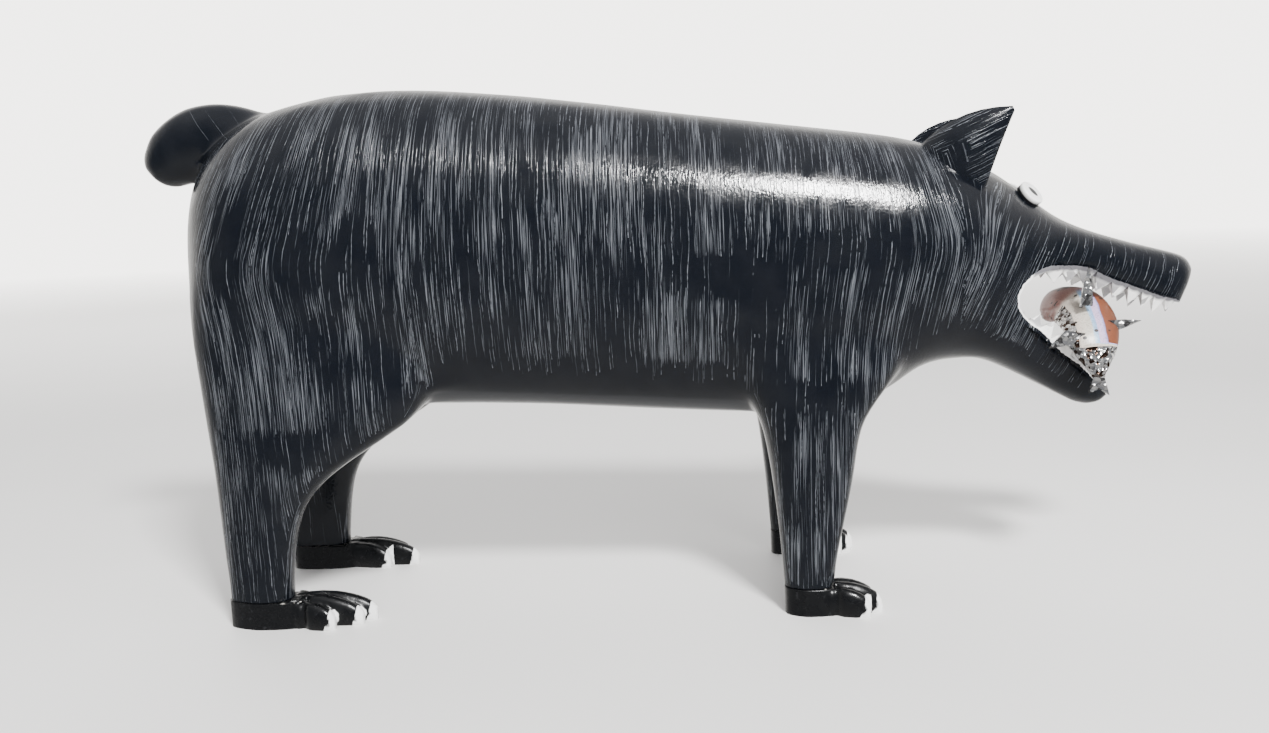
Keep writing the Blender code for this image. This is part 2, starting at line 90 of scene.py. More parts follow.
def superellipse(turn: float, squareness: float) -> tuple[float, float]:
    """Return the unit superellipse's point at a turn in radians.

    Args:
        turn: how far round.
        squareness: 2 for an ellipse, more for squarer corners.

    Returns:
        Its place across and up.
    """
    c, s = math.cos(turn), math.sin(turn)
    power = 2.0 / squareness
    return math.copysign(abs(c) ** power, c), math.copysign(abs(s) ** power, s)


def ring(centre: Vector, across: Vector, up: Vector, squareness: float, count: int) -> list[Vector]:
    """Return a closed ring about centre with the half axes across and up.

    Args:
        centre: its middle.
        across: half its width.
        up: half its height.
        squareness: 2 for an ellipse, more for squarer corners.
        count: how many points.

    Returns:
        The points in order.
    """
    points = []
    for i in range(count):
        u, v = superellipse(2.0 * math.pi * i / count, squareness)
        points.append(centre + across * u + up * v)
    return points


def loft(rings: list[list[Vector]]) -> bmesh.types.BMesh:
    """Skin a run of rings of equal count and close both ends.

    Args:
        rings: points of each ring, in millimetres.

    Returns:
        A closed bmesh in metres.
    """
    bm = bmesh.new()
    loops = []
    for points in rings:
        verts = [bm.verts.new(point * MM) for point in points]
        loops.append([bm.edges.new((verts[i], verts[(i + 1) % len(verts)])) for i in range(len(verts))])
    for low, high in zip(loops, loops[1:]):
        bmesh.ops.bridge_loops(bm, edges=low + high)
    bmesh.ops.contextual_create(bm, geom=loops[0])
    bmesh.ops.contextual_create(bm, geom=loops[-1])
    bmesh.ops.recalc_face_normals(bm, faces=bm.faces)
    return bm


def as_object(bm: bmesh.types.BMesh, name: str) -> bpy.types.Object:
    """Turn a bmesh into a linked object and free it.

    Args:
        bm: the shape.
        name: the object's name.

    Returns:
        The object.
    """
    mesh = bpy.data.meshes.new(name)
    bm.to_mesh(mesh)
    bm.free()
    piece = bpy.data.objects.new(name, mesh)
    bpy.context.scene.collection.objects.link(piece)
    return piece


def applied(piece: bpy.types.Object) -> bmesh.types.BMesh:
    """Return the piece's mesh with its modifiers applied and remove the piece.

    Args:
        piece: an object with modifiers.

    Returns:
        The finished shape.
    """
    graph = bpy.context.evaluated_depsgraph_get()
    bm = bmesh.new()
    bm.from_object(piece, graph)
    bpy.data.objects.remove(piece)
    return bm


def smoothed(bm: bmesh.types.BMesh, verts: list[bmesh.types.BMVert], times: int) -> None:
    """Relax the given vertices towards their neighbours.

    Args:
        bm: the shape.
        verts: which of its vertices.
        times: how often.
    """
    for _ in range(times):
        bmesh.ops.smooth_vert(
            bm, verts=verts, factor=0.5, use_axis_x=True, use_axis_y=True, use_axis_z=True
        )


def dressed(
    piece: bpy.types.Object, node: str, paint: bpy.types.Material
) -> bpy.types.Object:
    """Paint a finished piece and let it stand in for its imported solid.

    Args:
        piece: the finished piece.
        node: the solid's node.
        paint: the piece's material.

    Returns:
        The piece.
    """
    piece.data.materials.append(paint)
    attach(piece, BODY)
    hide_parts(node)
    return piece


def coordinates(mesh: bpy.types.Mesh) -> tuple[np.ndarray, np.ndarray]:
    """Return the mesh's points in millimetres and its vertex normals.

    Args:
        mesh: the mesh.

    Returns:
        Two arrays with a row for each vertex.
    """
    count = len(mesh.vertices)
    places = np.zeros(count * 3, np.float32)
    mesh.vertices.foreach_get("co", places)
    normals = np.zeros(count * 3, np.float32)
    mesh.vertex_normals.foreach_get("vector", normals)
    return places.reshape(-1, 3).astype(float) / MM, normals.reshape(-1, 3).astype(float)


def write_vectors(mesh: bpy.types.Mesh, name: str, columns: tuple[np.ndarray, ...]) -> None:
    """Store three numbers a vertex under a name that a material reads."""
    made = mesh.attributes.new(name, "FLOAT_VECTOR", "POINT")
    made.data.foreach_set("vector", np.stack(columns, 1).astype(np.float32).ravel())


def ramp(values: np.ndarray, low: float, high: float) -> np.ndarray:
    """Rise smoothly from 0 at low to 1 at high."""
    t = np.clip((values - low) / (high - low), 0.0, 1.0)
    return t * t * (3.0 - 2.0 * t)


def parted(rise: np.ndarray, bend: float) -> tuple[np.ndarray, np.ndarray]:
    """Split heights into what is above and below zero, with a soft bend between."""
    soft = np.sqrt(rise * rise + bend * bend)
    return (soft + rise) / 2.0, (soft - rise) / 2.0


class Graph:
    """A short way to write shader nodes."""

    def __init__(self, tree: bpy.types.NodeTree) -> None:
        """Work on the given node tree."""
        self.tree = tree

    def node(self, kind: str, **settings: object) -> bpy.types.Node:
        """Add a node and set its properties.

        Args:
            kind: Blender's name for the node.
            settings: its properties.

        Returns:
            The node.
        """
        made = self.tree.nodes.new(kind)
        for key, value in settings.items():
            setattr(made, key, value)
        return made

    def put(self, value: object, socket: Socket) -> None:
        """Link an output or write a number or colour to an input.

        Args:
            value: an output, a number or a colour.
            socket: the input.
        """
        if isinstance(value, bpy.types.NodeSocket):
            self.tree.links.new(value, socket)
        else:
            socket.default_value = value

    def math(self, operation: str, *values: object, clamp: bool = False) -> Socket:
        """Add a Math node.

        Args:
            operation: Blender's name for it.
            values: sockets or numbers.
            clamp: whether the result is held within 0 and 1.

        Returns:
            Its output.
        """
        made = self.node("ShaderNodeMath", operation=operation, use_clamp=clamp)
        for value, socket in zip(values, made.inputs):
            self.put(value, socket)
        return made.outputs[0]

    def times(self, value: object, factor: object, clamp: bool = False) -> Socket:
        """Multiply."""
        return self.math("MULTIPLY", value, factor, clamp=clamp)

    def times_plus(self, value: object, factor: object, more: object, clamp: bool = False) -> Socket:
        """Multiply by a factor, then add more."""
        return self.math("MULTIPLY_ADD", value, factor, more, clamp=clamp)

    def plus(self, value: object, more: object) -> Socket:
        """Add."""
        return self.math("ADD", value, more)

    def minus(self, value: object, less: object) -> Socket:
        """Subtract."""
        return self.math("SUBTRACT", value, less)

    def per(self, value: object, unit: object) -> Socket:
        """Divide."""
        return self.math("DIVIDE", value, unit)

    def vector(self, x: object, y: object, z: object = 0.0) -> Socket:
        """Combine three numbers.

        Args:
            x: the first.
            y: the second.
            z: the third.

        Returns:
            The vector.
        """
        made = self.node("ShaderNodeCombineXYZ")
        for value, socket in zip((x, y, z), made.inputs):
            self.put(value, socket)
        return made.outputs[0]

    def split(self, value: Socket) -> tuple[Socket, Socket, Socket]:
        """Separate a vector.

        Args:
            value: the vector.

        Returns:
            Its three numbers.
        """
        made = self.node("ShaderNodeSeparateXYZ")
        self.put(value, made.inputs[0])
        return tuple(made.outputs)

    def stored(self, name: str) -> tuple[Socket, Socket, Socket]:
        """Read the three numbers stored on the mesh under a name."""
        made = self.node("ShaderNodeAttribute", attribute_name=name)
        return self.split(made.outputs["Vector"])

    def speckle(self, place: Socket | None, scale: float, detail: float = 2.0) -> Socket:
        """Return noise around a half.

        Args:
            place: where it is read, or None for the object's own coordinates.
            scale: how many grains a metre.
            detail: how fine it is.

        Returns:
            The noise.
        """
        made = self.node("ShaderNodeTexNoise")
        if place is None:
            place = self.node("ShaderNodeTexCoord").outputs["Object"]
        self.put(place, made.inputs["Vector"])
        made.inputs["Scale"].default_value = scale
        made.inputs["Detail"].default_value = detail
        return made.outputs["Fac"]

    def streaks(
        self, flow: tuple[Socket, Socket], wide: float, long: float,
        seed: float = 0.0, detail: float = 2.0,
    ) -> Socket:
        """Return noise around a half that is drawn out along a flow.

        Args:
            flow: the places across it and along it.
            wide: how many grains a metre lie across it.
            long: how many a metre lie along it.
            seed: picks the pattern.
            detail: how fine the noise is.

        Returns:
            The noise.
        """
        place = self.vector(self.times(flow[0], wide), self.times(flow[1], long), seed)
        return self.speckle(place, 1.0, detail)

    def facets(self, scale: float) -> tuple[Socket, Socket]:
        """Return small facets, as cut with a knife or crumpled.

        Args:
            scale: how many a metre.

        Returns:
            A random number for each facet, and their height.
        """
        made = self.node("ShaderNodeTexVoronoi")
        self.put(self.node("ShaderNodeTexCoord").outputs["Object"], made.inputs["Vector"])
        made.inputs["Scale"].default_value = scale
        return self.split(made.outputs["Color"])[0], made.outputs["Distance"]

    def span(
        self, value: object, low: float, high: float, start: float = 0.0, end: float = 1.0
    ) -> Socket:
        """Map low..high to start..end and hold it there.

        Args:
            value: what is mapped.
            low: where it starts.
            high: where it ends.
            start: the result at low.
            end: the result at high.

        Returns:
            The result.
        """
        made = self.node("ShaderNodeMapRange")
        for item, socket in zip((value, low, high, start, end), made.inputs):
            self.put(item, socket)
        return made.outputs[0]

    def mix(self, share: object, first: object, second: object) -> Socket:
        """Mix two colours.

        Args:
            share: how much of the second.
            first: a colour.
            second: a colour.

        Returns:
            The mixed colour.
        """
        made = self.node("ShaderNodeMix", data_type="RGBA")
        self.put(share, made.inputs[0])
        self.put(first, made.inputs[6])
        self.put(second, made.inputs[7])
        return made.outputs[2]

    def bump(self, height: Socket, distance: float, strength: float = 1.0) -> Socket:
        """Turn a height into a normal.

        Args:
            height: the relief.
            distance: its depth in metres.
            strength: how much of it shows.

        Returns:
            The normal.
        """
        made = self.node("ShaderNodeBump")
        made.inputs["Strength"].default_value = strength
        made.inputs["Distance"].default_value = distance
        self.put(height, made.inputs["Height"])
        return made.outputs["Normal"]


def new_material(name: str) -> tuple[bpy.types.Material, Graph, bpy.types.Node]:
    """Make a material.

    Args:
        name: the material's name.

    Returns:
        The material, its graph and its Principled node.
    """
    made = bpy.data.materials.new(name)
    made.use_nodes = True
    return made, Graph(made.node_tree), made.node_tree.nodes["Principled BSDF"]


@dataclass(frozen=True)
class StrokeLayer:
    """One layer of brushed hairs, in metres."""

    column: float
    length: float
    width: float
    density: float
    seed: float


class HairStrokes:
    """Fine hair strokes that follow the flow stored on a mesh."""

    GROUP = "brushed hairs"
    LAYERS = (
        StrokeLayer(0.00125, 0.036, 0.00026, 0.66, 1.0),
        StrokeLayer(0.00210, 0.070, 0.00030, 0.80, 3.0),
    )
    # Faint hairs: how many across a metre, how many along it, seed
    FAINT = ((2500.0, 30.0, 3.1), (3500.0, 44.0, 8.7))

    def __init__(self) -> None:
        """Build the shared group once."""
        self.tree = bpy.data.node_groups.new(self.GROUP, "ShaderNodeTree")
        for name in ("Along", "Across", "Column", "Length", "Width", "Density", "Seed"):
            self.tree.interface.new_socket(name, in_out="INPUT", socket_type="NodeSocketFloat")
        self.tree.interface.new_socket("Hair", in_out="OUTPUT", socket_type="NodeSocketFloat")
        self._build(Graph(self.tree))

    def _build(self, g: Graph) -> None:
        """Lay out one layer: columns of strokes with random place, slant, length and gaps.

        Args:
            g: the group's graph.
        """
        given = g.node("NodeGroupInput").outputs
        along, across, column, seed = given["Along"], given["Across"], given["Column"], given["Seed"]
        wander = g.speckle(g.vector(across, along, seed), 55.0, 1.0)
        across = g.plus(across, g.times(g.minus(wander, 0.5), 0.0022))
        scaled = g.per(across, column)
        index = g.math("FLOOR", scaled)
        # Each column has strokes of its own length, begun at its own place
        first = g.node("ShaderNodeTexWhiteNoise", noise_dimensions="2D")
        g.put(g.vector(index, seed), first.inputs["Vector"])
        chance = first.outputs["Value"]
        run = g.times(g.per(along, given["Length"]), g.times_plus(chance, 0.6, 0.7))
        run = g.plus(run, g.times(chance, 37.0))
        row = g.math("FLOOR", run)
        within = g.minus(run, row)
        # Each stroke has its own place, slant and reach in its column
        second = g.node("ShaderNodeTexWhiteNoise", noise_dimensions="3D")
        g.put(g.vector(index, row, seed), second.inputs["Vector"])
        pick, shift, tilt = g.split(second.outputs["Color"])
        lean = g.times(g.minus(tilt, 0.5), g.minus(within, 0.5))
        centre = g.times_plus(lean, 0.55, g.times_plus(shift, 0.56, 0.22))
        middle = g.math("ABSOLUTE", g.times_plus(within, 2.0, -1.0))
        taper = g.times(g.minus(g.times_plus(shift, 0.55, 0.42), middle), 3.2, clamp=True)
        half = g.per(given["Width"], g.times(column, 2.0))
        half = g.times(half, g.times_plus(tilt, 0.9, 0.5))
        gap = g.math("ABSOLUTE", g.minus(g.minus(scaled, index), centre))
        edge = g.minus(g.times(half, taper), gap)
        line = g.times_plus(g.per(edge, half), 1.3, 0.35, clamp=True)
        line = g.times(line, g.math("GREATER_THAN", taper, 0.02))
        # The brush runs dry in short breaks
        dry = g.streaks((across, along), 2600.0, 420.0)
        line = g.times(line, g.span(dry, 0.33, 0.56))
        tone = g.per(pick, g.math("MAXIMUM", given["Density"], 0.01))
        tone = g.times_plus(g.math("POWER", tone, 1.6), 0.86, 0.14, clamp=True)
        there = g.math("LESS_THAN", pick, given["Density"])
        hair = g.times(g.times(line, there), tone)
        g.put(hair, g.node("NodeGroupOutput").inputs["Hair"])

    def drawn(self, g: Graph, flow: Socket, there: Socket) -> Socket:
        """Draw every layer along a flow.

        Args:
            g: the material's graph.
            flow: the place across the hairs and along them.
            there: how thickly the hairs stand, 0 to 1.

        Returns:
            How white the surface is with hairs.
        """
        across, along, _ = g.split(flow)
        result = self._faint(g, (across, along), there)
        for layer in self.LAYERS:
            made = g.node("ShaderNodeGroup", node_tree=self.tree)
            values = {
                "Along": along, "Across": across, "Column": layer.column, "Length": layer.length,
                "Width": layer.width, "Density": g.times(there, layer.density), "Seed": layer.seed,
            }
            for name, value in values.items():
                g.put(value, made.inputs[name])
            result = g.math("MAXIMUM", result, made.outputs["Hair"])
        return result

    def _faint(self, g: Graph, flow: tuple[Socket, Socket], there: Socket) -> Socket:
        """Draw many thin faint hairs in loose clusters.

        Args:
            g: the material's graph.
            flow: the places across the hairs and along them.
            there: how thickly the hairs stand.

        Returns:
            How white they are.
        """
        lines = []
        for wide, long, seed in self.FAINT:
            line = g.streaks(flow, wide, long, seed, 0.0)
            cluster = g.streaks(flow, 150.0, 9.0, seed)
            line = g.times_plus(g.minus(cluster, 0.5), 0.24, line)
            line = g.times_plus(g.minus(there, 1.0), 0.5, line)
            tone = g.span(g.streaks(flow, 700.0, 60.0, seed, 1.0), 0.35, 0.65, 0.15, 0.75)
            lines.append(g.times(g.span(line, 0.615, 0.665), tone))
        return g.times(g.math("MAXIMUM", *lines), g.math("GREATER_THAN", there, 0.02))


@dataclass(frozen=True)
class GlossBlack:
    """Gloss black brush paint over wood, with or without hair strokes and white areas."""

    base: Row = (0.0018, 0.0027, 0.0048, 1.0)
    worn: Row = (0.0045, 0.0054, 0.0074, 1.0)
    bare: Row = (0.0030, 0.0032, 0.0036, 1.0)
    # Lighter grey of the bare belly band: painted reflection of the pale floor
    belly_reflection: Row = (0.013, 0.0145, 0.0165, 1.0)
    hair: Row = (0.128, 0.137, 0.153, 1.0)
    # Grey painted shade on the white strip above the mouth and on the teeth's facets
    gum_and_shade: Row = (0.125, 0.122, 0.132, 1.0)
    white: Row = (0.88, 0.875, 0.86, 1.0)
    stain: Row = (0.52, 0.50, 0.48, 1.0)
    claw: Row = (0.86, 0.86, 0.85, 1.0)
    scuffed: Row = (0.014, 0.0145, 0.016, 1.0)
    glue: Row = (0.55, 0.53, 0.48, 1.0)

    def body(self, strokes: HairStrokes) -> bpy.types.Material:
        """Return the paint of the bear's body, with hairs, gums and teeth.

        Args:
            strokes: the brushed hairs.

        Returns:
            The material.
        """
        made, g, shader = new_material("black_hair_paint")
        cover, gum_and_shade, tone = g.stored("cover")
        band, edge, carved = g.stored("painted_light_masks")
        flow, seam = self._chosen_flow(g)
        ways = g.split(flow)[:2]
        patchy = g.span(g.streaks(ways, 70.0, 11.0, detail=3.0), 0.35, 0.58, 0.55, 1.0)
        hair = strokes.drawn(g, flow, g.times(g.times(cover, patchy), seam))
        black = g.mix(g.span(g.speckle(None, 95.0, 4.0), 0.35, 0.7), self.base, self.worn)
        # The bare belly band is painted lighter grey as a reflection of the pale floor
        black = g.mix(band, black, self.belly_reflection)
        colour = g.mix(g.times(hair, tone), black, self.hair)
        ragged = g.times_plus(g.speckle(None, 900.0), 0.0009, -0.00045)
        painted = g.times_plus(g.plus(gum_and_shade, ragged), -6000.0, 0.5, clamp=True)
        colour = g.mix(painted, colour, self._white_wood(g, edge, carved))
        g.put(colour, shader.inputs["Base Color"])
        rough = g.span(g.speckle(None, 160.0, 3.0), 0.3, 0.7, 0.09, 0.19)
        rough = g.times_plus(painted, 0.15, g.times_plus(hair, 0.18, rough))
        g.put(rough, shader.inputs["Roughness"])
        shader.inputs["Specular IOR Level"].default_value = 0.5
        drag = g.times_plus(g.speckle(None, 850.0, 1.0), 0.45, g.streaks(ways, 1100.0, 240.0))
        height = g.plus(g.times(hair, 0.5), drag)
        g.put(g.bump(height, 0.00014, 0.65), shader.inputs["Normal"])
        return made

    def _white_wood(self, g: Graph, edge: Socket, carved: Socket) -> Socket:
        """Return the white of the gums and teeth, stained, with grey painted shade on the strip above
        the mouth and on random facets of the teeth.

        Args:
            g: the material's graph.
            edge: where the strip above the mouth is painted grey as shade.
            carved: where the teeth are.

        Returns:
            The colour.
        """
        dirt = g.span(g.speckle(None, 260.0, 4.0), 0.58, 0.75, 0.0, 0.35)
        white = g.mix(dirt, self.white, self.stain)
        # Random facets of the teeth are painted grey as shade
        shade, _ = g.facets(210.0)
        shade = g.times(carved, g.span(shade, 0.50, 0.66, 0.0, 0.75))
        # The strip above the mouth is painted grey as shade
        return g.mix(edge, g.mix(shade, white, self.gum_and_shade), self.gum_and_shade)

    def _chosen_flow(self, g: Graph) -> tuple[Socket, Socket]:
        """Pick the flow that rules at a point, and thin the hairs where two flows meet.

        Args:
            g: the material's graph.

        Returns:
            The flow, and the share of hairs left at its seams.
        """
        vectors = []
        for name in ("flow_a", "flow_b", "flow_c"):
            made = g.node("ShaderNodeAttribute", attribute_name=name)
            vectors.append((made.outputs["Vector"], g.split(made.outputs["Vector"])[2]))
        jitter = g.times_plus(g.speckle(None, 420.0, 2.0), 0.7, -0.35)
        flow, seam = vectors[0][0], 1.0
        for vector, share in vectors[1:]:
            taken = g.math("GREATER_THAN", g.plus(share, jitter), 0.5)
            pick = g.node("ShaderNodeMix", data_type="VECTOR")
            g.put(taken, pick.inputs[0])
            g.put(flow, pick.inputs[4])
            g.put(vector, pick.inputs[5])
            flow = pick.outputs[1]
            away = g.math("ABSOLUTE", g.minus(share, 0.5))
            seam = g.times(seam, g.span(away, 0.05, 0.35, 0.88, 1.0))
        return flow, seam

    def foot(self) -> bpy.types.Material:
        """Paint a foot block, with white claws and chips at the glue line.

        Returns:
            The material.
        """
        made, g, shader = new_material("black_foot_paint")
        claw, chip, _ = g.stored("cover")
        ragged = g.times_plus(g.speckle(None, 500.0, 2.0), 0.0006, -0.0003)
        claws = g.times_plus(g.plus(claw, ragged), 5000.0, 0.5, clamp=True)
        chips = g.math("GREATER_THAN", g.times(chip, g.speckle(None, 330.0, 3.0)), 0.56)
        scuffs = g.span(g.speckle(None, 420.0, 4.0), 0.62, 0.74)
        black = g.mix(chips, g.mix(scuffs, self.bare, self.scuffed), self.glue)
        g.put(g.mix(claws, black, self.claw), shader.inputs["Base Color"])
        shader.inputs["Specular IOR Level"].default_value = 0.42
        g.put(g.span(g.speckle(None, 220.0, 3.0), 0.3, 0.7, 0.20, 0.36), shader.inputs["Roughness"])
        g.put(g.bump(g.speckle(None, 420.0, 4.0), 0.00025, 0.5), shader.inputs["Normal"])
        return made


@dataclass(frozen=True)
class EyePaint:
    """White enamel with a black pupil."""

    white: Row = (0.86, 0.86, 0.84, 1.0)
    pupil: Row = (0.010, 0.010, 0.012, 1.0)

    def made(self) -> bpy.types.Material:
        """Paint the disc white, with its pupil and with its foot painted black as shade in the gap of
        its seat.

        Returns:
            The material.
        """
        made, g, shader = new_material("eye_paint")
        spot, rim, _ = g.stored("cover")
        dark = g.times_plus(spot, 6000.0, 0.5, clamp=True)
        colour = g.mix(dark, self.white, self.pupil)
        # The foot of the disc's side is painted black as shade in the gap of its seat
        g.put(g.mix(rim, colour, self.pupil), shader.inputs["Base Color"])
        shader.inputs["Roughness"].default_value = 0.3
        g.put(g.bump(g.speckle(None, 600.0, 2.0), 0.00008, 0.4), shader.inputs["Normal"])
        return made


@dataclass(frozen=True)
class TroutPaint:
    """Common trout colours in bands from back to belly, and crinkled foil on the belly; the far head
    part is painted in darker rosy copies of them as shade, and the foil has facets painted darker as
    shade.
    """

    bands: tuple[tuple[float, Row], ...] = (
        (0.00, (0.10, 0.030, 0.013, 1.0)),
        (0.30, (0.17, 0.052, 0.024, 1.0)),
        (0.315, (0.24, 0.24, 0.46, 1.0)),
        (0.345, (0.44, 0.35, 0.55, 1.0)),
        (0.44, (0.50, 0.38, 0.55, 1.0)),
        (0.455, (0.20, 0.34, 0.56, 1.0)),
        (0.52, (0.28, 0.42, 0.56, 1.0)),
        (0.54, (0.48, 0.45, 0.39, 1.0)),
        (0.80, (0.50, 0.44, 0.38, 1.0)),
    )
    # Darker copies of the back and of the flank, painted as shade on the far head part under the upper
    # jaw
    shaded_head_back: Row = (0.05, 0.022, 0.016, 1.0)
    shaded_head_flank: Row = (0.26, 0.125, 0.105, 1.0)
    spot: Row = (0.012, 0.010, 0.012, 1.0)
    grain: Row = (0.06, 0.03, 0.02, 1.0)
    silver: Row = (0.92, 0.91, 0.89, 1.0)
    # Painted shade on random facets of the foil
    facet_shade: Row = (0.075, 0.045, 0.032, 1.0)
    foil_from: float = 0.80

    def made(self) -> bpy.types.Material:
        """Lay the bands, the spots and the foil over the fish.

        Returns:
            The material.
        """
        made, g, shader = new_material("trout_paint")
        girth, run, head = g.stored("band")
        wave = g.times_plus(g.speckle(None, 160.0, 2.0), 0.05, -0.025)
        place = g.plus(girth, wave)
        scale = g.node("ShaderNodeValToRGB")
        stops = scale.color_ramp.elements
        for i, (at, colour) in enumerate(self.bands):
            stop = stops[i] if i < 2 else stops.new(at)
            stop.position = at
            stop.color = colour
        g.put(place, scale.inputs[0])
        # The far head part is painted in shaded copies of the trout colours
        head_shade_colour = g.mix(g.span(girth, 0.12, 0.30), self.shaded_head_back, self.shaded_head_flank)
        colour = g.mix(head, scale.outputs["Color"], head_shade_colour)
        dots = g.node("ShaderNodeTexVoronoi")
        g.put(g.vector(g.times(girth, 4.4), g.times(run, 260.0)), dots.inputs["Vector"])
        dots.inputs["Scale"].default_value = 1.0
        colour = g.mix(g.math("LESS_THAN", dots.outputs["Distance"], 0.17), colour, self.spot)
        bare = g.minus(g.times_plus(head, -1.0, place), self.foil_from)
        foil = g.math("GREATER_THAN", bare, 0.0)
        grain = g.span(g.speckle(None, 1500.0), 0.45, 0.75, 0.0, 0.45)
        colour = g.mix(grain, colour, self.grain)
        turned, creases = g.facets(620.0)
        # Random facets of the foil are painted darker as shade
        silver = g.mix(g.span(turned, 0.45, 0.70), self.silver, self.facet_shade)
        g.put(g.mix(foil, colour, silver), shader.inputs["Base Color"])
        g.put(foil, shader.inputs["Metallic"])
        g.put(g.times_plus(foil, -0.10, 0.32), shader.inputs["Roughness"])
        height = g.times(creases, g.times_plus(foil, 0.96, 0.04))
        g.put(g.bump(height, 0.0007, 0.8), shader.inputs["Normal"])
        return made


@dataclass(frozen=True)
class Foil:
    """Bright crinkled foil, with random facets painted darker as shade."""

    colour: Row = (0.83, 0.82, 0.80, 1.0)
    # Painted shade on random facets of the foil
    facet_shade: Row = (0.11, 0.10, 0.095, 1.0)

    def made(self) -> bpy.types.Material:
        """Crinkle the foil.

        Returns:
            The material.
        """
        made, g, shader = new_material("crinkled_foil")
        turned, creases = g.facets(520.0)
        # Random facets of the foil are painted darker as shade
        silver = g.mix(g.span(turned, 0.35, 0.85, 0.0, 0.85), self.colour, self.facet_shade)
        g.put(silver, shader.inputs["Base Color"])
        shader.inputs["Metallic"].default_value = 1.0
        shader.inputs["Roughness"].default_value = 0.24
        g.put(g.bump(creases, 0.0006, 0.8), shader.inputs["Normal"])
        return made


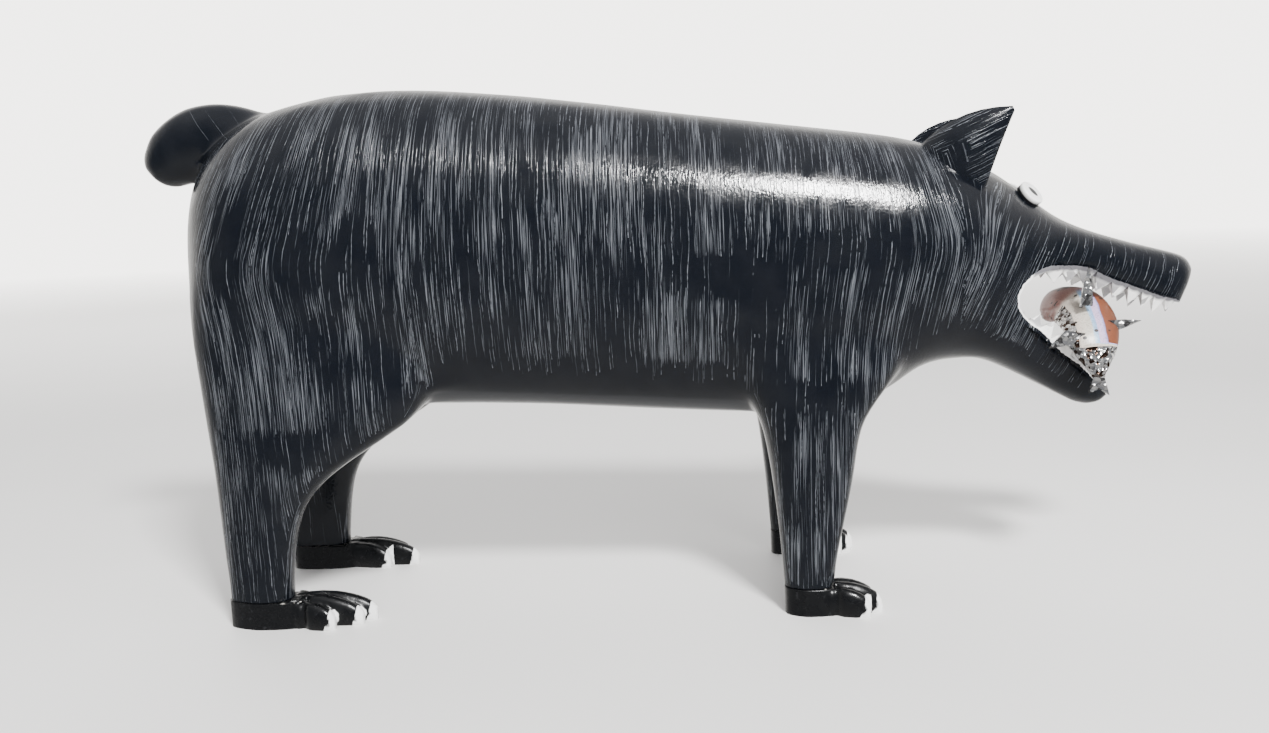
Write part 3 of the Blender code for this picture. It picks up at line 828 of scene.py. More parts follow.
@dataclass
class Hide:
    """The bear's body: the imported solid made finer, with its hairs' flow and its white areas."""

    node: str = "bear_body"
    sharp: float = math.radians(36.0)
    rounds: int = 2
    relaxing: int = 26
    # The mouth's sawn outline, as length and height
    mouth: tuple[Row, ...] = (
        (260.0, 112.0), (216.7, 120.3), (209.1, 121.6), (202.1, 124.2), (196.1, 126.4), (187.2, 129.6),
        (181.2, 132.6), (177.2, 134.8), (172.2, 135.8), (166.1, 136.4), (158.5, 136.4), (152.6, 134.4),
        (148.4, 131.4), (146.2, 127.0), (146.6, 122.4), (149.0, 118.6), (152.4, 115.2), (157.8, 111.6),
        (162.1, 107.2), (166.4, 102.9), (171.2, 99.4), (175.8, 96.2), (180.0, 91.8), (184.6, 87.2),
        (198.0, 72.0), (260.0, 60.0),
    )
    # Ear: foot, bulge and tip of its rear edge and of its front edge
    ear_rear: tuple[Row, ...] = ((108.0, 20.0, 189.0), (121.5, 26.0, 204.6), (143.4, 31.0, 203.4))
    ear_front: tuple[Row, ...] = ((131.5, 30.5, 168.0), (138.0, 31.5, 188.0), (144.2, 31.0, 201.6))
    # How far the hairs lean forward for each millimetre up, at lengths along the body: above and
    # below the flank's middle, then on the brow and on the jaws
    lean_high: tuple[Row, ...] = (
        (-205, 0.50), (-150, 0.34), (-110, 0.10), (-60, 0.0), (70, 0.0), (118, -0.34),
    )
    lean_low: tuple[Row, ...] = (
        (-205, -0.30), (-160, -0.22), (-130, -0.04), (30, 0.06), (60, 0.16), (90, 0.30), (120, 0.34),
    )
    lean_brow: tuple[Row, ...] = (
        (110, -0.30), (125, -0.12), (140, 0.25), (155, 0.50), (170, 0.45), (190, 0.26), (230, 0.2),
    )
    lean_jaw: tuple[Row, ...] = ((110, 0.34), (140, 0.48), (165, 0.55), (230, 0.55))
    # Height of the line that the back's hairs cross over, on the barrel and on the head
    barrel_axis: tuple[Row, ...] = ((90, 150), (200, 132))
    head_axis: tuple[Row, ...] = ((110, 150), (140, 140), (225, 128))
    flank_middle: float = 150.0
    # Lengths over which the head's hairs take over, and over which the snout's end loses them
    neck: Row = (114.0, 128.0)
    snout_end: Row = (218.0, 222.0)
    # The belly's edge: lengths and heights, and the lengths between which it is bare and painted lighter
    # as a reflection of the floor
    belly: tuple[Row, ...] = ((-100, 87), (40, 78), (60, 78))
    bare_belly: Row = (-100.0, 34.0)
    # Thin patches of hair: length, height, half length, half height, share left out
    patches: tuple[Row, ...] = (
        (27.0, 141.0, 19.0, 8.0, 0.95), (42.0, 120.0, 6.0, 26.0, 0.8), (57.0, 92.0, 20.0, 6.0, 0.8),
        (-152.0, 76.0, 22.0, 8.0, 0.55), (-141.0, 152.0, 9.0, 10.0, 0.7),
        (-136.0, 118.0, 4.0, 16.0, 0.6), (72.0, 150.0, 18.0, 7.0, 0.5), (-120.0, 160.0, 8.0, 9.0, 0.6),
    )
    # Width of the pale strip above the mouth, at lengths along it, and below the mouth; past 152 mm the
    # strip above the mouth is painted grey as shade
    strip: tuple[Row, ...] = ((145, 0.9), (150, 0.9), (158, 2.1), (190, 2.1), (215, 1.4), (220, 0.3))
    strip_below: float = 0.75

    def build(self) -> bpy.types.Object:
        """Make the finer mesh and store its flows and covers.

        Returns:
            The body.
        """
        bm = bmesh.new()
        bm.from_mesh(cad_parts[self.node].data)
        bmesh.ops.remove_doubles(bm, verts=bm.verts, dist=1e-6)
        for edge in bm.edges:
            edge.smooth = len(edge.link_faces) == 2 and edge.calc_face_angle(0.0) < self.sharp
        for _ in range(self.rounds):
            bmesh.ops.subdivide_edges(bm, edges=bm.edges, cuts=1, use_grid_fill=True)
        soft = [v for v in bm.verts if all(edge.smooth for edge in v.link_edges)]
        smoothed(bm, soft, self.relaxing)
        for face in bm.faces:
            face.smooth = True
        piece = as_object(bm, "carved_body")
        self._store(piece.data)
        return piece

    def _store(self, mesh: bpy.types.Mesh) -> None:
        """Write the flows of the hairs and where they and the white paint lie.

        Args:
            mesh: the finer mesh.
        """
        points, normals = coordinates(mesh)
        x, y, z = points.T
        outside = self._outside_mouth(points)
        ears, ear_across, ear_along = self._ears(points)
        head_across, head_along = self._head_flow(points)
        tail = self._tail(points)
        rump = x < 0.0
        high = (x > 100.0) & (z > 160.0)
        ends = ramp(np.abs(normals[:, 0]), 0.55, 0.78) * (x < 100.0)
        flows = (
            ("flow_a", *self._body_flow(points), ends),
            (
                "flow_b",
                np.where(rump, 0.85 * x + 0.5 * z + 0.3 * y + 500.0, head_across),
                np.where(rump, 0.85 * z - 0.5 * x, head_along),
                np.maximum(ramp(x, *self.neck), tail),
            ),
            (
                "flow_c",
                np.where(high, ear_across + 700.0, y + 300.0),
                np.where(high, ear_along, z),
                np.maximum(ears, ends),
            ),
        )
        for name, across, along, share in flows:
            write_vectors(mesh, name, (across * MM, along * MM, share))
        cover, tone, band = self._cover(points, normals, ears, tail)
        gum_and_shade = outside - self._strip(points)
        write_vectors(mesh, "cover", (cover, gum_and_shade * MM, tone))
        # Where the white strip above the mouth is painted grey as shade
        shaded_lip = ramp(outside, -0.35, 0.25) * (x > 152.0) * (z > 118.0)
        carved = ramp(outside, -6.5, -4.5) * ramp(-outside, -0.2, 0.6)
        # Stored together: the belly's painted reflection, the painted shade of the strip above the
        # mouth, and the teeth whose facets get painted shade
        write_vectors(mesh, "painted_light_masks", (band, shaded_lip, carved))

    def _tail(self, points: np.ndarray) -> np.ndarray:
        """Tell how far each point is the tail's.

        Args:
            points: the mesh's points, in millimetres.

        Returns:
            0 to 1 for each.
        """
        x, y, z = points.T
        behind = 0.852 * (z - 187.4) - x - 177.7
        return ramp(behind, -2.0, 4.0) * (z > 183.0) * ramp(-np.abs(y), -24.0, -18.0)

    def _wrapped(self, points: np.ndarray, axis: np.ndarray, radius: float) -> np.ndarray:
        """Return the place along hairs that run up the flank and over the back.

        Args:
            points: the mesh's points, in millimetres.
            axis: height of the line that the hairs cross over.
            radius: of the back above it.

        Returns:
            The places in millimetres.
        """
        y, z = points[:, 1], points[:, 2]
        over = radius * np.arctan2(np.maximum(z - axis, 0.0), -y)
        down = np.minimum(z - axis, 0.0)
        return np.where(y < 0.0, down + over, over - down)

    def _body_flow(self, points: np.ndarray) -> tuple[np.ndarray, np.ndarray]:
        """Hairs of the barrel and legs: down the flanks, across the back.

        Args:
            points: the mesh's points, in millimetres.

        Returns:
            The places across the hairs and along them.
        """
        x, z = points[:, 0], points[:, 2]
        up, down = parted(z - self.flank_middle, 8.0)
        # The lean dies away down the legs
        drop = 42.0 * np.tanh(down / 42.0)
        high = np.interp(x, *zip(*self.lean_high))
        low = np.interp(x, *zip(*self.lean_low))
        axis = np.interp(x, *zip(*self.barrel_axis))
        return x - high * up + low * drop, self._wrapped(points, axis, 62.0)

    def _head_flow(self, points: np.ndarray) -> tuple[np.ndarray, np.ndarray]:
        """Hairs of the cheeks and jaws: slanting up and forward, finer and shorter.

        Args:
            points: the mesh's points, in millimetres.

        Returns:
            The places across the hairs and along them.
        """
        x, z = points[:, 0], points[:, 2]
        axis = np.interp(x, *zip(*self.head_axis))
        up, down = parted(z - axis, 6.0)
        brow = np.interp(x, *zip(*self.lean_brow))
        jaw = np.interp(x, *zip(*self.lean_jaw))
        across = x - brow * up + jaw * down
        return across * 1.15 + 40.0, self._wrapped(points, axis, 30.0) * 1.3

    def _ears(self, points: np.ndarray) -> tuple[np.ndarray, np.ndarray, np.ndarray]:
        """Find the ears and the flow of their hairs.

        Args:
            points: the mesh's points, in millimetres.

        Returns:
            How far each point is an ear's, its place across the hairs and along them.
        """
        x, y, z = points.T
        share = np.zeros(len(points))
        for side in Side:
            by = (x > 104) & (x < 148) & (z > 166) & (y * side.value > 14)
            near = np.nonzero(by)[0]
            samples, heights = [], []
            for t in np.linspace(0.0, 1.0, 17):
                ends = []
                for curve in (self.ear_rear, self.ear_front):
                    a, b, c = (Vector((p[0], p[1] * side.value, p[2])) for p in curve)
                    ends.append(a.lerp(b, t).lerp(b.lerp(c, t), t))
                for s in np.linspace(0.0, 1.0, 15):
                    samples.append(ends[0].lerp(ends[1], s))
                    heights.append(t)
            gaps = np.linalg.norm(points[near][:, None, :] - np.array(samples)[None], axis=2)
            above = np.array(heights)[gaps.argmin(1)]
            share[near] = ramp(-gaps.min(1), -7.0, -4.0) * ramp(above, 0.04, 0.14)
        ahead, up = x - 122.0, z - 184.0
        across = 1.5 * (0.92 * up - 0.39 * ahead) + np.sign(y) * 80.0
        return share, across, 1.7 * (0.92 * ahead + 0.39 * up)

    def _outside_mouth(self, points: np.ndarray) -> np.ndarray:
        """Measure how far each point lies outside the mouth's outline.

        Args:
            points: the mesh's points, in millimetres.

        Returns:
            The distance, less than zero within the mouth.
        """
        x, z = points[:, 0], points[:, 2]
        distance = np.full(len(points), 1e3)
        for (x0, z0), (x1, z1) in zip(self.mouth, self.mouth[1:]):
            dx, dz = x1 - x0, z1 - z0
            t = np.clip(((x - x0) * dx + (z - z0) * dz) / (dx * dx + dz * dz), 0.0, 1.0)
            distance = np.minimum(distance, np.hypot(x - x0 - t * dx, z - z0 - t * dz))
        return np.where(self._in_mouth(x, z), -distance, distance)

    def _strip(self, points: np.ndarray) -> np.ndarray:
        """Find the width of the pale strip outside the mouth.

        Args:
            points: the mesh's points, in millimetres.

        Returns:
            The width beside each point.
        """
        x, z = points[:, 0], points[:, 2]
        upper = z > 126.0 - 0.28 * np.maximum(x - 150.0, 0.0)
        return np.where(upper, np.interp(x, *zip(*self.strip)), self.strip_below)

    def _in_mouth(self, x: np.ndarray, z: np.ndarray) -> np.ndarray:
        """Tell which points lie inside the mouth's outline.

        Args:
            x: the points' lengths.
            z: their heights.

        Returns:
            Yes or no for each.
        """
        inside = np.zeros(len(x), bool)
        outline = self.mouth
        for (x0, z0), (x1, z1) in zip(outline, outline[1:] + outline[:1]):
            crosses = (z0 > z) != (z1 > z)
            at = x0 + (x1 - x0) * (z - z0) / ((z1 - z0) or 1e-9)
            inside ^= crosses & (x < at)
        return inside

    def _cover(
        self, points: np.ndarray, normals: np.ndarray, ears: np.ndarray, tail: np.ndarray
    ) -> tuple[np.ndarray, np.ndarray, np.ndarray]:
        """Tell how thickly the hairs stand, how white they are, and where the belly is painted lighter
        as a reflection of the floor.

        Args:
            points: the mesh's points.
            normals: its vertex normals.
            ears: how far each point is an ear's.
            tail: how far each point is the tail's.

        Returns:
            The hairs' cover, their tone and the band of painted reflection on the belly, each 0 to 1.
        """
        x, y, z = points.T
        above = z - np.interp(x, *zip(*self.belly))
        between = (x > self.bare_belly[0]) & (x < self.bare_belly[1])
        inner = ramp(-np.abs(y), -38.0, -34.0) * (z < 85.0)
        cover = 1.0 - ramp(-normals[:, 2], 0.35, 0.6) * ramp(z, 0.0, 1.0)
        cover *= np.where(between, ramp(above, 9.2, 10.4), 1.0)
        snout = 0.34 * ramp(x, 146.0, 172.0)
        for share in (0.75 * inner, ramp(x, *self.snout_end), 0.90 * tail, snout, 0.10 * ears):
            cover *= 1.0 - share
        for px, pz, rx, rz, left_out in self.patches:
            cover *= 1.0 - left_out * np.exp(-(((x - px) / rx) ** 2) - ((z - pz) / rz) ** 4)
        # Hairs on the ears are drawn brighter as a painted sheen; the tail's hairs are drawn duller
        tone = np.where(ears > 0.5, 1.0, 0.92) * (1.0 - 0.45 * tail)
        # The bare band under the belly's edge, painted lighter as a reflection of the floor
        band = np.where(between, ramp(-above, -10.5, -9.0), 0.0)
        return cover, tone, band

    def dress(self, strokes: HairStrokes) -> bpy.types.Object:
        """Build and paint the body."""
        return dressed(self.build(), self.node, GlossBlack().body(strokes))


@dataclass
class FootBlock:
    """A foot block with four toes, white claws and a groove between heel and toes."""

    node: str
    side: Side
    rear: float
    front: float
    inner: float
    outer: float
    corner: float
    notch: float
    toes: tuple[Row, ...]
    height: float = 11.2
    ledge: float = 0.8
    gap: float = 0.3
    trim: float = 1.0
    squareness: float = 3.2
    toe_width: float = 6.5
    toe_root: float = 5.0
    spread: float = 0.55
    voxel: float = 0.55
    groove: float = 1.5
    claw: float = 5.4
    claw_half: float = 2.8
    # A toe's rings: share of its reach, of the block's height and of its width
    arch: tuple[Row, ...] = (
        (0.0, 1.12, 0.80), (0.3, 1.16, 0.92), (0.55, 1.10, 1.04),
        (0.78, 0.92, 1.00), (0.92, 0.72, 0.86), (1.0, 0.46, 0.58),
    )

    def build(self) -> bpy.types.Object:
        """Carve the block and store where its claws and chips are.

        Returns:
            The foot.
        """
        parts = [self._heel()] + [self._toe(*toe) for toe in self.toes]
        whole = bmesh.new()
        for part in parts:
            mesh = bpy.data.meshes.new("part")
            part.to_mesh(mesh)
            part.free()
            whole.from_mesh(mesh)
            bpy.data.meshes.remove(mesh)
        piece = as_object(whole, "foot")
        melt = piece.modifiers.new("melt", "REMESH")
        melt.mode = "VOXEL"
        melt.voxel_size = self.voxel * MM
        bm = applied(piece)
        for vert in bm.verts:
            away = (vert.co.x / MM - self.notch) / self.groove
            depth = self.groove * math.exp(-(away ** 2))
            off = self.side.value * vert.co.y / MM - (self.inner + self.outer) / 2
            if off > 0.0:
                vert.co.y -= self.side.value * depth * min(1.0, off / 5.0) * MM
        smoothed(bm, bm.verts, 3)
        self._sole_cut(bm)
        self._ankle_cut(bm)
        for face in bm.faces:
            face.smooth = True
        for edge in bm.edges:
            edge.smooth = len(edge.link_faces) != 2 or edge.calc_face_angle(0.0) < math.radians(40.0)
        piece = as_object(bm, f"dressed_{self.node}")
        self._store(piece.data)
        return piece

    def _sole_cut(self, bm: bmesh.types.BMesh) -> None:
        """Saw the block flat at the ground and close the cut.

        Args:
            bm: the foot.
        """
        whole = bm.verts[:] + bm.edges[:] + bm.faces[:]
        cut = bmesh.ops.bisect_plane(
            bm, geom=whole, plane_co=(0, 0, 0), plane_no=(0, 0, -1), clear_outer=True
        )
        edges = [item for item in cut["geom_cut"] if isinstance(item, bmesh.types.BMEdge)]
        bmesh.ops.holes_fill(bm, edges=edges, sides=0)

    def _ankle_cut(self, bm: bmesh.types.BMesh) -> None:
        """Press the top flat under the ankle.

        Args:
            bm: the foot.
        """
        limit = self.front + self.gap
        for vert in bm.verts:
            x, z = vert.co.x / MM, vert.co.z / MM
            if x < limit and z > self.height - 0.02:
                vert.co.z = self.height * MM

    def _heel(self) -> bmesh.types.BMesh:
        """Shape the block under the ankle.

        Returns:
            The block, taller than it ends.
        """
        rings = []
        for height in (-self.trim, self.height / 2, self.height + self.trim):
            middle = self.side.value * (self.inner + self.outer) / 2
            centre = Vector(((self.rear + self.notch) / 2, middle, height))
            along = Vector(((self.notch - self.rear) / 2, 0, 0))
            across = Vector((0, self.side.value * ((self.outer - self.inner) / 2 + self.ledge), 0))
            points = []
            for i in range(40):
                u, v = superellipse(2.0 * math.pi * i / 40, self.squareness)
                carve = self.corner * max(0.0, v) ** 2 * max(0.0, -u)
                points.append(centre + along * u + across * v + Vector((carve, 0, 0)))
            rings.append(points)
        return loft(rings)

    def _toe(self, reach: float, at: float, rise: float) -> bmesh.types.BMesh:
        """Shape one arched toe.

        Args:
            reach: how far it reaches ahead of the groove.
            at: its tip's place from the middle.
            rise: how high its root stands.

        Returns:
            The toe.
        """
        rings = []
        middle = (self.inner + self.outer) / 2
        root = middle + (at - middle) * self.spread
        for t, tall, wide in smooth_rows(self.arch, 3):
            low, high = -self.trim, self.height * tall * (rise + (1.0 - rise) * t)
            spread = 1.0 - (1.0 - t) ** 2
            centre = Vector((
                self.notch - self.toe_root + (reach + self.toe_root) * t,
                self.side.value * (root + (at - root) * spread),
                (low + high) / 2,
            ))
            across = Vector((0, self.toe_width / 2 * wide, 0))
            rings.append(ring(centre, across, Vector((0, 0, (high - low) / 2)), 2.3, 24))
        return loft(rings)

    def _store(self, mesh: bpy.types.Mesh) -> None:
        """Write how far inside a claw each point is, and where the glue line chipped.

        Args:
            mesh: the foot's mesh.
        """
        points, _ = coordinates(mesh)
        x, y, z = points.T
        claw = np.full(len(x), -9.0)
        for reach, at, _ in self.toes:
            back = (self.notch + reach) - x
            off = np.abs(y - self.side.value * at)
            tip = self.claw - back - 0.045 * z ** 2 - 0.16 * off ** 2
            claw = np.maximum(claw, np.minimum.reduce([tip, self.claw_half - off, back + 0.7]))
        chip = ramp(-np.abs(z - self.height), -0.9, -0.1)
        chip *= ramp(y * self.side.value, self.outer - 6.0, self.outer - 2.0)
        chip *= ramp(x, self.notch - 14.0, self.notch - 8.0)
        chip *= ramp(-x, -self.notch - 1.0, -self.notch + 2.0)
        write_vectors(mesh, "cover", (claw * MM, chip, np.zeros(len(x))))

    def dress(self, paint: bpy.types.Material) -> bpy.types.Object:
        """Build and paint the foot."""
        return dressed(self.build(), self.node, paint)


@dataclass
class Eye:
    """A white disc with a rounded rim and a long pupil, let into the forehead."""

    node: str
    side: Side
    place: Row = (155.4, 15.4, 168.6)
    look: Row = (0.58, 0.53, 0.62)
    radius: float = 5.65
    stand: float = 0.8
    sink: float = 2.6
    rounding: float = 0.7
    pupil: Row = (1.7, 2.6)
    pupil_turn: float = math.radians(32.0)
    insets: Row = (1.4, 2.1, 2.8, 3.4, 4.0, 4.6, 5.2)
    doming: float = 0.015

    def build(self) -> bpy.types.Object:
        """Make the disc and store its pupil.

        Returns:
            The eye.
        """
        look = Vector((self.look[0], self.side.value * self.look[1], self.look[2])).normalized()
        spot = Vector((self.place[0], self.side.value * self.place[1], self.place[2]))
        across = look.cross(Vector((0, 0, 1))).normalized()
        up = look.cross(across)
        rings = []
        for lift, inset in self._profile():
            size = self.radius - inset
            rings.append(ring(spot + look * lift, across * size, up * size, 2.0, 56))
        bm = loft(rings)
        for face in bm.faces:
            face.smooth = True
        bmesh.ops.subdivide_edges(bm, edges=bm.edges, cuts=1, use_grid_fill=True)
        piece = as_object(bm, f"dressed_{self.node}")
        self._store(piece.data, spot, look)
        return piece

    def _profile(self) -> list[tuple[float, float]]:
        """Turn the disc's outline: up its side, over the rim and in to its middle.

        Returns:
            Height and inset of each ring.
        """
        profile = [(-self.sink, 0.0)]
        for i in range(7):
            turn = math.pi / 2 * i / 6
            lift = self.stand - self.rounding + self.rounding * math.sin(turn)
            profile.append((lift, self.rounding * (1.0 - math.cos(turn))))
        for inset in self.insets:
            profile.append((self.stand + self.doming * inset, inset))
        return profile

    def _store(self, mesh: bpy.types.Mesh, spot: Vector, look: Vector) -> None:
        """Write how far inside the pupil each point is, and the foot of the rim that is painted black as
        shade in its seat.

        Args:
            mesh: the disc's mesh.
            spot: its middle.
            look: the way it faces.
        """
        points, _ = coordinates(mesh)
        away = points - np.array(spot)
        forward = Vector((1, 0, 0))
        forward = (forward - look * forward.dot(look)).normalized()
        a, b = away @ np.array(forward), away @ np.array(look.cross(forward))
        turn = self.pupil_turn * self.side.value
        along = a * math.cos(turn) + b * math.sin(turn)
        aside = -a * math.sin(turn) + b * math.cos(turn)
        inside = 1.0 - np.hypot(along / self.pupil[1], aside / self.pupil[0])
        height = away @ np.array(look)
        # More than about 1 mm below the disc's middle point, its side is painted black as shade in the
        # seat's gap
        rim = ramp(-height, 0.9, 1.2)
        write_vectors(mesh, "cover", (np.where(height > 0, inside, -1.0) * MM, rim, rim * 0))

    def dress(self, paint: bpy.types.Material) -> bpy.types.Object:
        """Build and paint the eye."""
        return dressed(self.build(), self.node, paint)


@dataclass
class Trout:
    """The small fish bent over the near jaw, with its foil fins."""

    # Length, side, height, half height, share of the thickness, turn of the back
    spine: tuple[Row, ...] = (
        (183.4, 44.0, 111.6, 1.6, 0.30, 10), (182.6, 41.5, 112.6, 3.8, 0.60, 12),
        (180.6, 35.0, 114.6, 6.2, 0.88, 16), (177.0, 25.0, 116.8, 7.4, 1.00, 20),
        (173.0, 13.0, 118.6, 7.6, 1.00, 26), (174.0, 3.0, 119.8, 8.8, 1.00, 38),
        (176.6, -8.0, 118.8, 10.6, 1.00, 58), (177.8, -18.0, 114.4, 11.4, 1.00, 78),
        (177.6, -25.0, 108.0, 10.8, 0.92, 88), (177.8, -28.8, 101.4, 8.2, 0.74, 92),
        (178.0, -30.6, 96.0, 4.6, 0.52, 94), (178.0, -31.4, 92.4, 2.4, 0.36, 94),
    )
    thickness: float = 10.0
    foil_from: float = 0.80
    crinkle: float = 0.45
    rings: int = 8
    points: int = 96
    # Lengths at which the near part's back and belly lie
    near_back: float = 189.2
    near_girth: float = 23.0

    def build(self) -> bpy.types.Object:
        """Loft the fish finely, crinkle its foil and store its bands.

        Returns:
            The fish.
        """
        rows = smooth_rows(self.spine, self.rings)
        rings, marks, run = [], [], 0.0
        for i, (x, y, z, half, thick, turn) in enumerate(rows):
            before, after = rows[max(i - 1, 0)], rows[min(i + 1, len(rows) - 1)]
            way = (Vector(after[:3]) - Vector(before[:3])).normalized()
            angle = math.radians(turn)
            back = Vector((math.sin(angle), 0.0, math.cos(angle)))
            back = (back - way * back.dot(way)).normalized()
            aside = way.cross(back)
            if i:
                run += (Vector(rows[i][:3]) - Vector(rows[i - 1][:3])).length
            wide = aside * self.thickness / 2 * thick
            rings.append(ring(Vector((x, y, z)), wide, back * half, 2.0, self.points))
            for k in range(self.points):
                marks.append((0.5 - 0.5 * math.sin(2 * math.pi * k / self.points), run, y))
        bm = loft(rings)
        for face in bm.faces:
            face.smooth = True
        piece = as_object(bm, "dressed_fish_body")
        marks = np.array(marks)
        tail = ramp(marks[:, 1], run - 13.5, run - 11.5)
        places, _ = coordinates(piece.data)
        near = ramp(-marks[:, 2], -2.0, 3.0)
        upright = np.clip((self.near_back - places[:, 0]) / self.near_girth, 0.0, 1.0)
        girth = marks[:, 0] * (1.0 - near) + upright * near
        girth = np.maximum(girth, tail * 0.9)
        # The far part, the head, whose paint gets shaded copies of its colours and no foil
        head = ramp(marks[:, 2], -7.0, -3.0)
        write_vectors(piece.data, "band", (girth, marks[:, 1] * MM, head))
        self._crinkled(piece.data, girth)
        return piece

    def _crinkled(self, mesh: bpy.types.Mesh, girth: np.ndarray) -> None:
        """Fold the foil part of the skin inwards in small creases.

        Args:
            mesh: the fish's mesh.
            girth: how far down each vertex lies.
        """
        for vert, share in zip(mesh.vertices, girth):
            if share > self.foil_from:
                place = vert.co / MM
                fold = abs(noise.noise(place * 0.55)) + 0.6 * abs(noise.noise(place * 1.3))
                vert.co -= vert.normal * (fold * self.crinkle * 2.0 * MM)
        mesh.update()

    def dress(self, paint: bpy.types.Material) -> bpy.types.Object:
        """Build and paint the fish."""
        return dressed(self.build(), "fish_body", paint)


@dataclass
class FoilFin:
    """A fin of crinkled foil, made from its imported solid, shifted and shortened where it should be."""

    node: str
    shift: float = 0.0
    share: float = 1.0
    crinkle: float = 0.35

    def dress(self, foil: bpy.types.Material) -> bpy.types.Object:
        """Build the fin from its solid and dress it.

        Args:
            foil: the foil.

        Returns:
            The fin.
        """
        bm = bmesh.new()
        bm.from_mesh(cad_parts[self.node].data)
        bmesh.ops.remove_doubles(bm, verts=bm.verts, dist=1e-6)
        for _ in range(4):
            bmesh.ops.subdivide_edges(bm, edges=bm.edges, cuts=1, use_grid_fill=True)
        for vert in bm.verts:
            place = vert.co / MM
            vert.co.y += noise.noise(place * 0.45) * self.crinkle * MM
        top = max(vert.co.z for vert in bm.verts)
        for vert in bm.verts:
            vert.co.x += self.shift * MM
            vert.co.z = top - (top - vert.co.z) * self.share
        return dressed(as_object(bm, f"dressed_{self.node}"), self.node, foil)


@dataclass(frozen=True)
class Lamp:
    """A square lamp: its way from the bear, distance and size in metres, power in watts."""

    name: str
    way: Row
    distance: float
    size: float
    power: float
    mirrored: bool = False


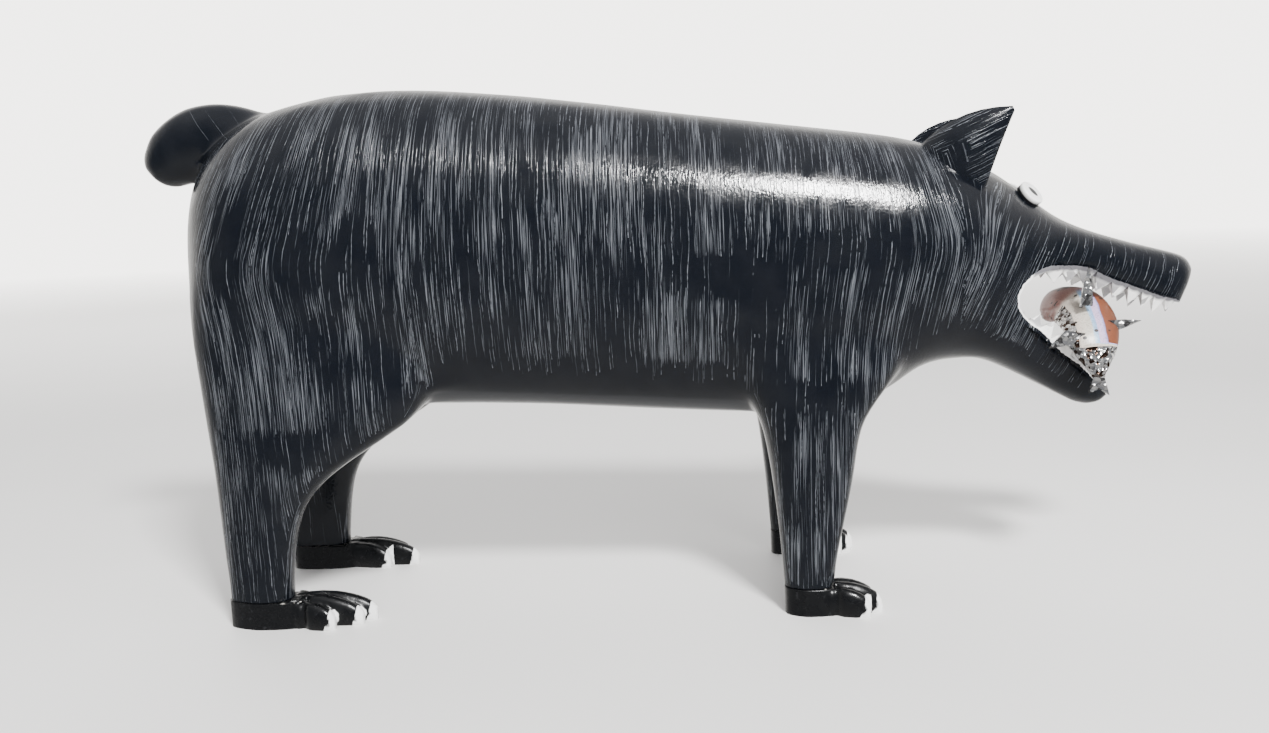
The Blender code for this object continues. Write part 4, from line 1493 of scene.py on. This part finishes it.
@dataclass
class Studio:
    """Floor, light and camera."""

    floor_size: float = 16.0
    floor_colour: Row = (0.78, 0.77, 0.755, 1.0)
    floor_shade: Row = (0.62, 0.615, 0.60, 1.0)
    # Distances in metres over which the floor fades away
    floor_fade: Row = (0.7, 4.5)
    horizon: Row = (4.6, 4.5, 4.35, 1.0)
    behind: Row = (1.70, 1.66, 1.60, 1.0)
    front: Row = (0.19, 0.20, 0.22, 1.0)
    overhead: Row = (0.62, 0.62, 0.64, 1.0)
    below: Row = (0.52, 0.515, 0.51, 1.0)
    place: Row = (12.8, -515.0, 169.9)
    right: Row = (0.99804, 0.04605, -0.04240)
    up: Row = (0.03573, 0.13718, 0.98990)
    view: Row = (-0.05140, 0.98948, -0.13526)
    lens: float = 33.197
    lit: Row = (0.03, 0.0, 0.11)
    lamps: tuple[Lamp, ...] = (
        Lamp("key", (0.25, -0.68, 0.69), 1.5, 0.22, 52.0, mirrored=True),
        Lamp("fill", (0.30, -1.0, 0.46), 1.8, 1.0, 25.0),
        Lamp("rear fill", (-0.35, 1.0, 0.75), 1.8, 1.6, 26.0),
    )

    def build(self) -> None:
        """Set up everything around the bear."""
        self._floor()
        self._world()
        self._lights()
        self._camera()

    def _floor(self) -> None:
        """A plain pale tabletop."""
        bm = bmesh.new()
        bmesh.ops.create_grid(bm, x_segments=1, y_segments=1, size=self.floor_size / 2)
        floor = as_object(bm, "floor")
        made, g, shader = new_material("pale_floor")
        shade = g.span(g.speckle(None, 3.0, 2.0), 0.3, 0.7, 0.0, 0.25)
        g.put(g.mix(shade, self.floor_colour, self.floor_shade), shader.inputs["Base Color"])
        shader.inputs["Roughness"].default_value = 0.55
        x, y, _ = g.split(g.node("ShaderNodeTexCoord").outputs["Object"])
        far = g.math("SQRT", g.times_plus(x, x, g.times(y, y)))
        fade = g.node("ShaderNodeMixShader")
        g.put(g.span(far, *self.floor_fade), fade.inputs[0])
        g.put(shader.outputs[0], fade.inputs[1])
        g.put(g.node("ShaderNodeBsdfTransparent").outputs[0], fade.inputs[2])
        g.put(fade.outputs[0], g.tree.nodes["Material Output"].inputs["Surface"])
        floor.data.materials.append(made)
        floor.visible_glossy = False

    def _world(self) -> None:
        """A pale wall of light behind the bear that dims towards the camera's side."""
        world = bpy.data.worlds.new("studio")
        bpy.context.scene.world = world
        world.use_nodes = True
        g = Graph(world.node_tree)
        way = g.node("ShaderNodeTexCoord").outputs["Generated"]
        _, depth, height = g.split(way)
        colour = g.mix(g.span(depth, -0.35, 0.5), self.front, self.behind)
        colour = g.mix(g.span(height, 0.30, 0.85), colour, self.overhead)
        colour = g.mix(g.span(height, -0.10, -0.60), colour, self.below)
        seen = g.node("ShaderNodeLightPath").outputs["Is Camera Ray"]
        backdrop = world.node_tree.nodes["Background"]
        g.put(g.mix(seen, colour, self.horizon), backdrop.inputs["Color"])

    def _lights(self) -> None:
        """A soft key that the gloss mirrors, and two wide fills that it does not."""
        for lamp in self.lamps:
            light = bpy.data.lights.new(lamp.name, "AREA")
            light.shape = "SQUARE"
            light.size = lamp.size
            light.energy = lamp.power
            way = Vector(lamp.way)
            made = bpy.data.objects.new(lamp.name, light)
            made.location = Vector(self.lit) + way.normalized() * lamp.distance
            made.rotation_euler = (-way).to_track_quat("-Z", "Y").to_euler()
            made.visible_glossy = lamp.mirrored
            made.visible_camera = False
            bpy.context.scene.collection.objects.link(made)

    def _camera(self) -> None:
        """The photograph's viewpoint."""
        data = bpy.data.cameras.new("camera")
        data.sensor_width = 36.0
        data.lens = self.lens
        camera = bpy.data.objects.new("camera", data)
        right, up, view = Vector(self.right), Vector(self.up), Vector(self.view)
        turn = Matrix((right, up, -view)).transposed()
        camera.matrix_world = Matrix.LocRotScale(Vector(self.place) * MM, turn.to_quaternion(), None)
        bpy.context.scene.collection.objects.link(camera)
        bpy.context.scene.camera = camera


# Each foot's rear and front under the ankle, inner and outer side, cut corner and groove, and its
# toes: reach ahead of the groove, place from the middle and rise
HIND = {
    "rear": -188.8, "front": -161.0, "inner": 34.2, "outer": 49.6, "corner": 11.0, "notch": -154.6,
    "toes": ((13.7, 51.0, 0.80), (24.1, 45.0, 1.0), (28.5, 39.0, 1.04), (15.7, 34.6, 0.9)),
}
FRONT = {
    "rear": 46.8, "front": 66.6, "inner": 37.4, "outer": 49.8, "corner": 6.0, "notch": 67.6,
    "toes": ((13.4, 50.8, 0.84), (19.0, 45.4, 1.0), (17.4, 39.8, 1.02), (12.2, 35.6, 0.9)),
}
FINS = (
    FoilFin("fish_fin_back"),
    FoilFin("fish_fin_side", shift=-2.4, share=0.8),
    FoilFin("fish_fin_belly"),
    FoilFin("fish_fin_tail"),
)


def main() -> None:
    """Build the whole scene in order and report each piece."""
    logging.basicConfig(level=logging.INFO, format="%(message)s")
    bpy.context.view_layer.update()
    strokes = HairStrokes()
    foot_paint = GlossBlack().foot()
    eye_paint = EyePaint().made()
    foil = Foil().made()
    pieces = [Hide().dress(strokes)]
    for side in Side:
        label = side.name.lower()
        pieces.append(FootBlock(f"foot_hind_{label}", side, **HIND).dress(foot_paint))
        pieces.append(FootBlock(f"foot_front_{label}", side, **FRONT).dress(foot_paint))
        pieces.append(Eye(f"eye_{label}", side).dress(eye_paint))
    pieces.append(Trout().dress(TroutPaint().made()))
    for fin in FINS:
        pieces.append(fin.dress(foil))
    for piece in pieces:
        LOG.info("%s: %d faces", piece.name, len(piece.data.polygons))
    Studio().build()


if __name__ == "__main__":
    main()
